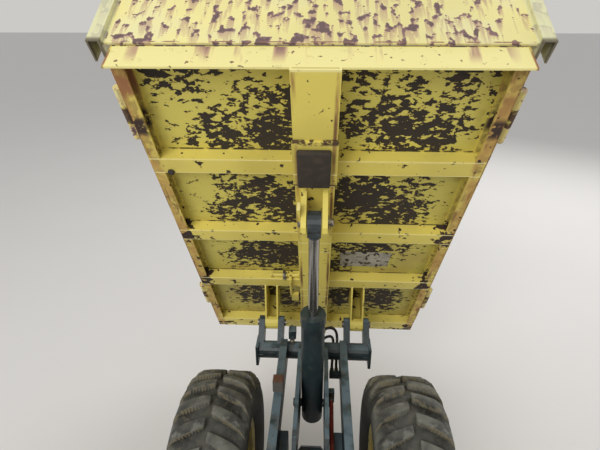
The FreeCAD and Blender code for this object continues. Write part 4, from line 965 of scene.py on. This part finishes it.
# along the bed and level of each pin
CLEVIS_PIN = (-0.854, -0.020)
LOCK_PIN = (-0.246, 0.121)
KEEPER_PLACE = (-0.0475, -0.905, -0.020)
KEEPER_SIZE = (0.0100, 0.062, 0.030)
BUMP_PLACE = (-0.459, -0.9414, 0.106)


def on_shaft(piece, across, along, level, towards=1):
    """Puts a piece that was turned about Z on a shaft that lies across the bed."""
    piece.matrix_world = (Matrix.Translation((across, along, level))
                          @ Matrix.Rotation(math.radians(90 * towards), 4, "Y"))
    return on_bed(piece)


shaft_steel = worn_steel("clevis_pin_steel", 0.7, (0.33, 0.30, 0.25))
for label, outline, across, towards, spot in (
        ("clevis_washer", [(0.0150, 0.0), (0.0225, 0.0), (0.0225, 0.003), (0.0150, 0.003)],
         CLEVIS_SIDE, 1, CLEVIS_PIN),
        ("clevis_pin_end", [(0.0135, 0.003), (0.0135, 0.016), (0.0110, 0.019), (0.0040, 0.0195)],
         CLEVIS_SIDE, 1, CLEVIS_PIN),
        ("clevis_pin_head", [(0.0175, 0.0), (0.0175, 0.008), (0.0150, 0.011), (0.0050, 0.0115)],
         -CLEVIS_SIDE, -1, CLEVIS_PIN),
        ("lock_collar", [(0.0095, 0.0), (0.0190, 0.0), (0.0200, 0.002), (0.0200, 0.010),
                         (0.0190, 0.012), (0.0095, 0.012)], -0.140, 1, LOCK_PIN),
        ("lock_washer", [(0.0095, 0.0), (0.0165, 0.0), (0.0165, 0.0025), (0.0095, 0.0025)],
         -0.126, 1, LOCK_PIN)):
    piece = on_shaft(turned(label, outline, 40), across, *spot, towards)
    fitted(piece, "bed", "bare_steel", shaft_steel)
keeper = on_bed(block("pin_keeper", KEEPER_PLACE, KEEPER_SIZE, 0.002))
fitted(keeper, "bed", "bed_paint", frame_coat)
bump = turned("rib_bump", [(0.0100, 0.0), (0.0112, 0.003), (0.0100, 0.0075), (0.0060, 0.0100),
                           (0.0020, 0.0106)], 32)
bump.matrix_world = Matrix.Translation(BUMP_PLACE) @ Matrix.Rotation(math.pi, 4, "X")
on_bed(bump)
fitted(bump, "bed", "black_rubber", pad_rubber.material)

# Blank plate: a thin painted sheet riveted under the floor between the second and third ribs;
# weather has dulled it and its front edge is bent.
PLATE_CORNERS = [(0.1050, -0.4080), (0.3180, -0.4010), (0.3140, -0.2940), (0.1105, -0.2885)]
PLATE_LEVEL = 0.1503
PLATE_THICK = 0.0012
BEND_START = -0.335
BEND_REACH = 0.045
BEND_DEPTH = 0.0022
deselect()
bpy.ops.mesh.primitive_plane_add(size=2)
plate = own("blank_plate")
for vertex in plate.data.vertices:
    u, v = (vertex.co.x + 1) / 2, (vertex.co.y + 1) / 2
    rear = Vector(PLATE_CORNERS[0]).lerp(Vector(PLATE_CORNERS[1]), u)
    front = Vector(PLATE_CORNERS[3]).lerp(Vector(PLATE_CORNERS[2]), u)
    vertex.co = (*rear.lerp(front, v), PLATE_LEVEL)
edit()
bpy.ops.mesh.subdivide(number_cuts=11)
bpy.ops.object.mode_set(mode="OBJECT")
for vertex in plate.data.vertices:
    curl = max(0.0, (vertex.co.y - BEND_START) / BEND_REACH)
    vertex.co.z -= BEND_DEPTH * curl ** 2 * (0.6 + 0.4 * math.sin(31 * vertex.co.x))
sheet = plate.modifiers.new("wall", "SOLIDIFY")
sheet.thickness = PLATE_THICK
sheet.offset = 0
bpy.ops.object.modifier_apply(modifier=sheet.name)
edit()
leave()
on_bed(plate)
plate_finish = Finish("weathered_plate", (0.42, 0.39, 0.31), 0.6, turn=-TIP, centre=HINGE)
plate_finish.blotch(0.72, plate_finish.noise(18, 5).rising(0.40, 0.62))
plate_finish.patches((0.15, 0.12, 0.075), (40, 6), (0.54, 0.66), 0.8, 0.8, shift=3)
torn = plate_finish.along("Y").rising(-0.385, -0.412) * 0.10 + plate_finish.noise(55, 4, shift=6)
plate_finish.cover(BARE, torn.rising(0.575, 0.590), 0.85)
fitted(plate, "bed", "bed_paint", plate_finish.done(0.0008, plate_finish.noise(70, 5)))

# Hose ends and bed latch: crimped steel ferrules screwed into the frame's fittings, and a
# housing with a worn stud round the latch lug on the cross tube.
FERRULE = [
    # radius and distance along, as shares of the hose's radius
    (1.05, 0.0), (1.46, 0.0), (1.46, 1.4), (1.28, 1.7), (1.28, 2.1), (1.38, 2.4), (1.28, 2.7),
    (1.38, 3.0), (1.28, 3.3), (1.38, 3.6), (1.28, 4.0), (1.05, 4.2),
]
fitting_steel = worn_steel("fitting_steel", 0.8, (0.16, 0.15, 0.13))
for name, route, towards, radius in (
        ("ferrule_lower", LIFT_ONE_ROUTE, 1, LIFT_RADIUS),
        ("ferrule_upper", LIFT_TWO_ROUTE, 1, LIFT_RADIUS),
        ("ferrule_feed", RED_ROUTE, -1, FEED_RADIUS)):
    across, ahead, high = route[0]
    outline = [(wide * radius, reach * radius) for wide, reach in FERRULE]
    ferrule = turned(name, outline, 32)
    settle(ferrule, (across, FRONT_AXLE_Y + ahead, high), (-90 * towards, 0, 0))
    fitted(ferrule, "front", "bare_steel", fitting_steel)
LATCH_PLACE = (-0.097, FRONT_AXLE_Y + 0.495, 0.672)
LATCH_SIZE = (0.034, 0.044, 0.046)
STUD_PLACE = (LATCH_PLACE[0], FRONT_AXLE_Y + 0.466, 0.629)
STUD = [(0.0110, 0.0), (0.0110, 0.024), (0.0095, 0.026), (0.0030, 0.0265)]
housing = settle(block("latch_housing", LATCH_PLACE, LATCH_SIZE, 0.004, 3))
fitted(housing, "front", "frame_paint", front_paint)
stud = settle(turned("latch_stud", STUD, 28), STUD_PLACE)
fitted(stud, "front", "bare_steel", shaft_steel)

# Tipping cylinder: a seamless tube with a round foot on trunnions and a screwed gland,
# painted with the frame; its ground and chromed rod ends in a bored eye.
barrel_paint = frame_paint("barrel_paint", wear_and_painted_light=0.15, dusty=0.35, rusty=0.15)
coat(barrel_paint, "tip_barrel", "steer_barrel")
STEER_EYE = (-0.190, FRONT_AXLE_Y - 0.680, 0.455)
ROD_EYE = (0.0, 0.70043, 1.4096)
ROD_LEAN = 9.515
EYE_PAINT = 0.060


def rod_steel(name, lean, centre, painted=None):
    """Ground rod steel, dull with a brown film; its eye, where it has one, in dark paint."""
    finish = Finish(name, (0.40, 0.385, 0.36), 0.20, turn=lean, centre=centre)
    finish.patches((0.165, 0.140, 0.105), (9, 5), (0.40, 0.66), 0.75, 0.40, stretch=(5, 5, 0.35))
    finish.patches((0.09, 0.075, 0.055), (38, 5), (0.58, 0.78), 0.6, 0.5, stretch=(1, 1, 0.2),
                   shift=3)
    if painted:
        head = finish.along("Z").rising(-painted - 0.0005, -painted)
        finish.cover((0.030, 0.038, 0.040), head, 0.5)
        finish.patches((0.085, 0.095, 0.098), (30, 5), (0.45, 0.7), 0.6, 0.6, within=head, shift=8)
        finish.patches((0.085, 0.042, 0.022), (60, 5), (0.64, 0.70), 0.6, 0.85, within=head,
                       shift=7)
        finish.metal = 1 - head
    else:
        finish.metal = 1 - finish.noise(30, 3, shift=5).rising(0.70, 0.80) * 0.4
    return finish.done(0.00008, finish.noise(300, 2, stretch=(1, 1, 0.05)))


coat(rod_steel("tipping_rod_steel", ROD_LEAN, ROD_EYE, EYE_PAINT), "tip_rod")
coat(rod_steel("steering_rod_steel", 90, STEER_EYE), "steer_rod")
NECK = [(0.0182, -0.0540), (0.0200, -0.0540), (0.0225, -0.0515), (0.0225, -0.0475), (0.0182, -0.0475)]
neck = turned("rod_neck", NECK, 40)
settle(neck, ROD_EYE, (ROD_LEAN, 0, 0))
fitted(neck, "tip_rod", "frame_paint", frame_paint("neck_paint", wear_and_painted_light=0.2, dusty=0.3, rusty=0.2))

# Rear frame: the same channel rails behind the pivot, carrying the engine, the seat and the
# tanks; painted as the front frame, oilier and dustier.
rear_paint = frame_paint("rear_frame_paint", wear_and_painted_light=0.7, dusty=0.9)
coat(rear_paint, "rear_frame", "gearbox")

# Foot plate, console, tanks and panels: folded sheet in the frame's colour, worn by boots and
# splashed with mud at the steps, with paler painted light on their upward faces.
cab_paint = frame_paint("cab_sheet_paint", wear_and_painted_light=0.8, dusty=0.8, rusty=0.6)
coat(cab_paint, "foot_plate", "fuel_tank", "hydraulic_tank", "steering_column", "side_panels",
     "grille_panel", "seat_box")

# Rear weight and tow jaw: a cast block bolted behind the frame and a forked jaw welded from
# plate, in the frame's paint, scraped and rusty, with paler painted light on their upward faces.
coat(frame_paint("weight_paint", wear_and_painted_light=0.6, dusty=0.9, rusty=0.9), "rear_weight", "tow_jaw")

# Mudguards and bonnet: pressed sheet, the guards bolted over the rear wheels and the bonnet
# hinged behind the engine, in faded yellow with chips of rust at the folds.
coat(sheet_paint("bonnet_paint"), "bonnet", "mudguards")

# Engine and exhaust: a cast iron block under the bonnet, black with oil, and a welded pipe
# that has gone brown with heat.
iron = Finish("oily_iron", (0.055, 0.058, 0.058), 0.5, Metallic=0.3)
iron.patches((0.02, 0.016, 0.012), (14, 5), (0.45, 0.65), 0.8, 0.3)
coat(iron.done(0.001, iron.noise(120, 5)), "engine_block")
burnt = Finish("burnt_exhaust", (0.115, 0.070, 0.048), 0.75, Metallic=0.4)
burnt.patches((0.19, 0.085, 0.040), (18, 6), (0.42, 0.66), 1, 0.9)
burnt.patches((0.045, 0.040, 0.038), (9, 4), (0.52, 0.7), 0.7, 0.7, shift=5)
coat(burnt.done(0.0009, burnt.noise(90, 5)), "exhaust")

# Seat: two foam cushions in black vinyl, sewn in channels and piped round their edges, held on
# a pressed steel pan.
coat(worn_steel("seat_pan_steel", 0.3, (0.05, 0.055, 0.055)), "seat_pan")
CUSHION_CUTS = 15
CHANNELS = (-0.070, 0.070)
CHANNEL_DEPTH = 0.007
CHANNEL_WIDTH = 0.006
EDGE_POWER = 8
CORNER_POWER = 6
EDGE_BOW = 0.022
CROWN = 0.20
CUSHION_SMOOTH = 60
PIPING = 0.0032
PIPING_STEPS = 96


def stuffed_form(node, thin):
    """Gives the place on a cushion of a point on a cube from -1 to 1; thin is the short axis."""
    low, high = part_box(node)
    middle = middle_of(node)
    half = [(b - a) / 2 for a, b in zip(low, high)]
    wide = [axis for axis in range(3) if axis != thin]

    def place(cube):
        u, v, w = cube[wide[0]], cube[wide[1]], cube[thin]
        side = max(abs(u), abs(v))
        reach = (abs(u) ** CORNER_POWER + abs(v) ** CORNER_POWER) ** (1 / CORNER_POWER)
        shrink = side / reach if reach else 1.0
        round_off = (side ** EDGE_POWER + abs(w) ** EDGE_POWER) ** (-1 / EDGE_POWER)
        u, v, w = u * shrink * round_off, v * shrink * round_off, w * round_off
        u, v = (u * (1 - EDGE_BOW * (1 - v * v) * u ** 4),
                v * (1 - EDGE_BOW * (1 - u * u) * v ** 4))
        w *= 1 - CROWN + CROWN * (1 - u * u) * (1 - v * v)
        for channel in CHANNELS:
            off = (u * half[wide[0]] - channel) / CHANNEL_WIDTH
            if w > 0.5:
                w -= CHANNEL_DEPTH / half[thin] * math.exp(-off * off)
        spot = [0.0, 0.0, 0.0]
        for axis, share in zip(wide + [thin], (u, v, w)):
            spot[axis] = middle[axis] + share * half[axis]
        return Vector(spot)

    return place, half[0]


def cushion(name, node, thin):
    """A foam cushion in its cover, with pressed channels."""
    place, half = stuffed_form(node, thin)
    deselect()
    bpy.ops.mesh.primitive_cube_add(size=2)
    piece = own(name)
    edit()
    bpy.ops.mesh.subdivide(number_cuts=CUSHION_CUTS)
    for channel in CHANNELS:
        for step in (-2, -1, 0, 1, 2):
            bpy.ops.mesh.select_all(action="SELECT")
            bpy.ops.mesh.bisect(plane_co=((channel + step * CHANNEL_WIDTH * 0.8) / half, 0, 0),
                                plane_no=(1, 0, 0))
    leave()
    for vertex in piece.data.vertices:
        vertex.co = place(vertex.co)
    return settle(piece, smooth=CUSHION_SMOOTH)


def piping(name, node, thin, face):
    """The round cord in the seam where a cushion's face meets its side."""
    place = stuffed_form(node, thin)[0]
    line = bpy.data.curves.new(name, "CURVE")
    line.dimensions = "3D"
    spline = line.splines.new("POLY")
    corners = []
    for step in range(PIPING_STEPS):
        turn = 2 * math.pi * step / PIPING_STEPS
        u, v = math.cos(turn), math.sin(turn)
        side = max(abs(u), abs(v))
        cube = [u / side, v / side]
        cube.insert(thin, face)
        corners.append(place(cube))
    spline.points.add(len(corners) - 1)
    for spot, corner in zip(spline.points, corners):
        spot.co = (*corner, 1)
    spline.use_cyclic_u = True
    return settle(swept(name, line, PIPING, 2), smooth=CUSHION_SMOOTH)


def seat_cover(name):
    """Grained black vinyl, shiny where it is sat on and dusty in its folds."""
    finish = Finish(name, (0.024, 0.024, 0.025), 0.46)
    finish.patches((0.085, 0.078, 0.066), (9, 5), (0.46, 0.78), 0.5, 0.72)
    finish.patches((0.050, 0.048, 0.045), (3, 3), (0.4, 0.6), 0.6, 0.36, shift=4)
    return finish.done(0.0006, finish.noise(520, 2) + finish.noise(60, 4) * 0.5)


seat_vinyl = seat_cover("seat_vinyl")
for name, node, thin in (("seat_pad", "seat_cushion", 2), ("back_pad", "seat_backrest", 1)):
    pad = cushion(name, node, thin)
    fitted(pad, "rear", "seat_vinyl", seat_vinyl, node)
    for label, face in (("inner", -1), ("outer", 1)):
        cord = piping("%s_piping_%s" % (name, label), node, thin, face)
        fitted(cord, "rear", "seat_vinyl", seat_vinyl)

# Levers and steering wheel: two steel rods with knobs beside the seat, and a moulded plastic
# wheel that is pressed on the column's shaft.
coat(worn_steel("lever_steel", 0.4, (0.10, 0.10, 0.10)), "levers")
plastic = Finish("wheel_plastic", (0.020, 0.020, 0.021), 0.42)
plastic.patches((0.07, 0.065, 0.055), (25, 4), (0.5, 0.75), 0.4, 0.6)
coat(plastic.done(0.0003, plastic.noise(300, 2)), "steering_wheel")
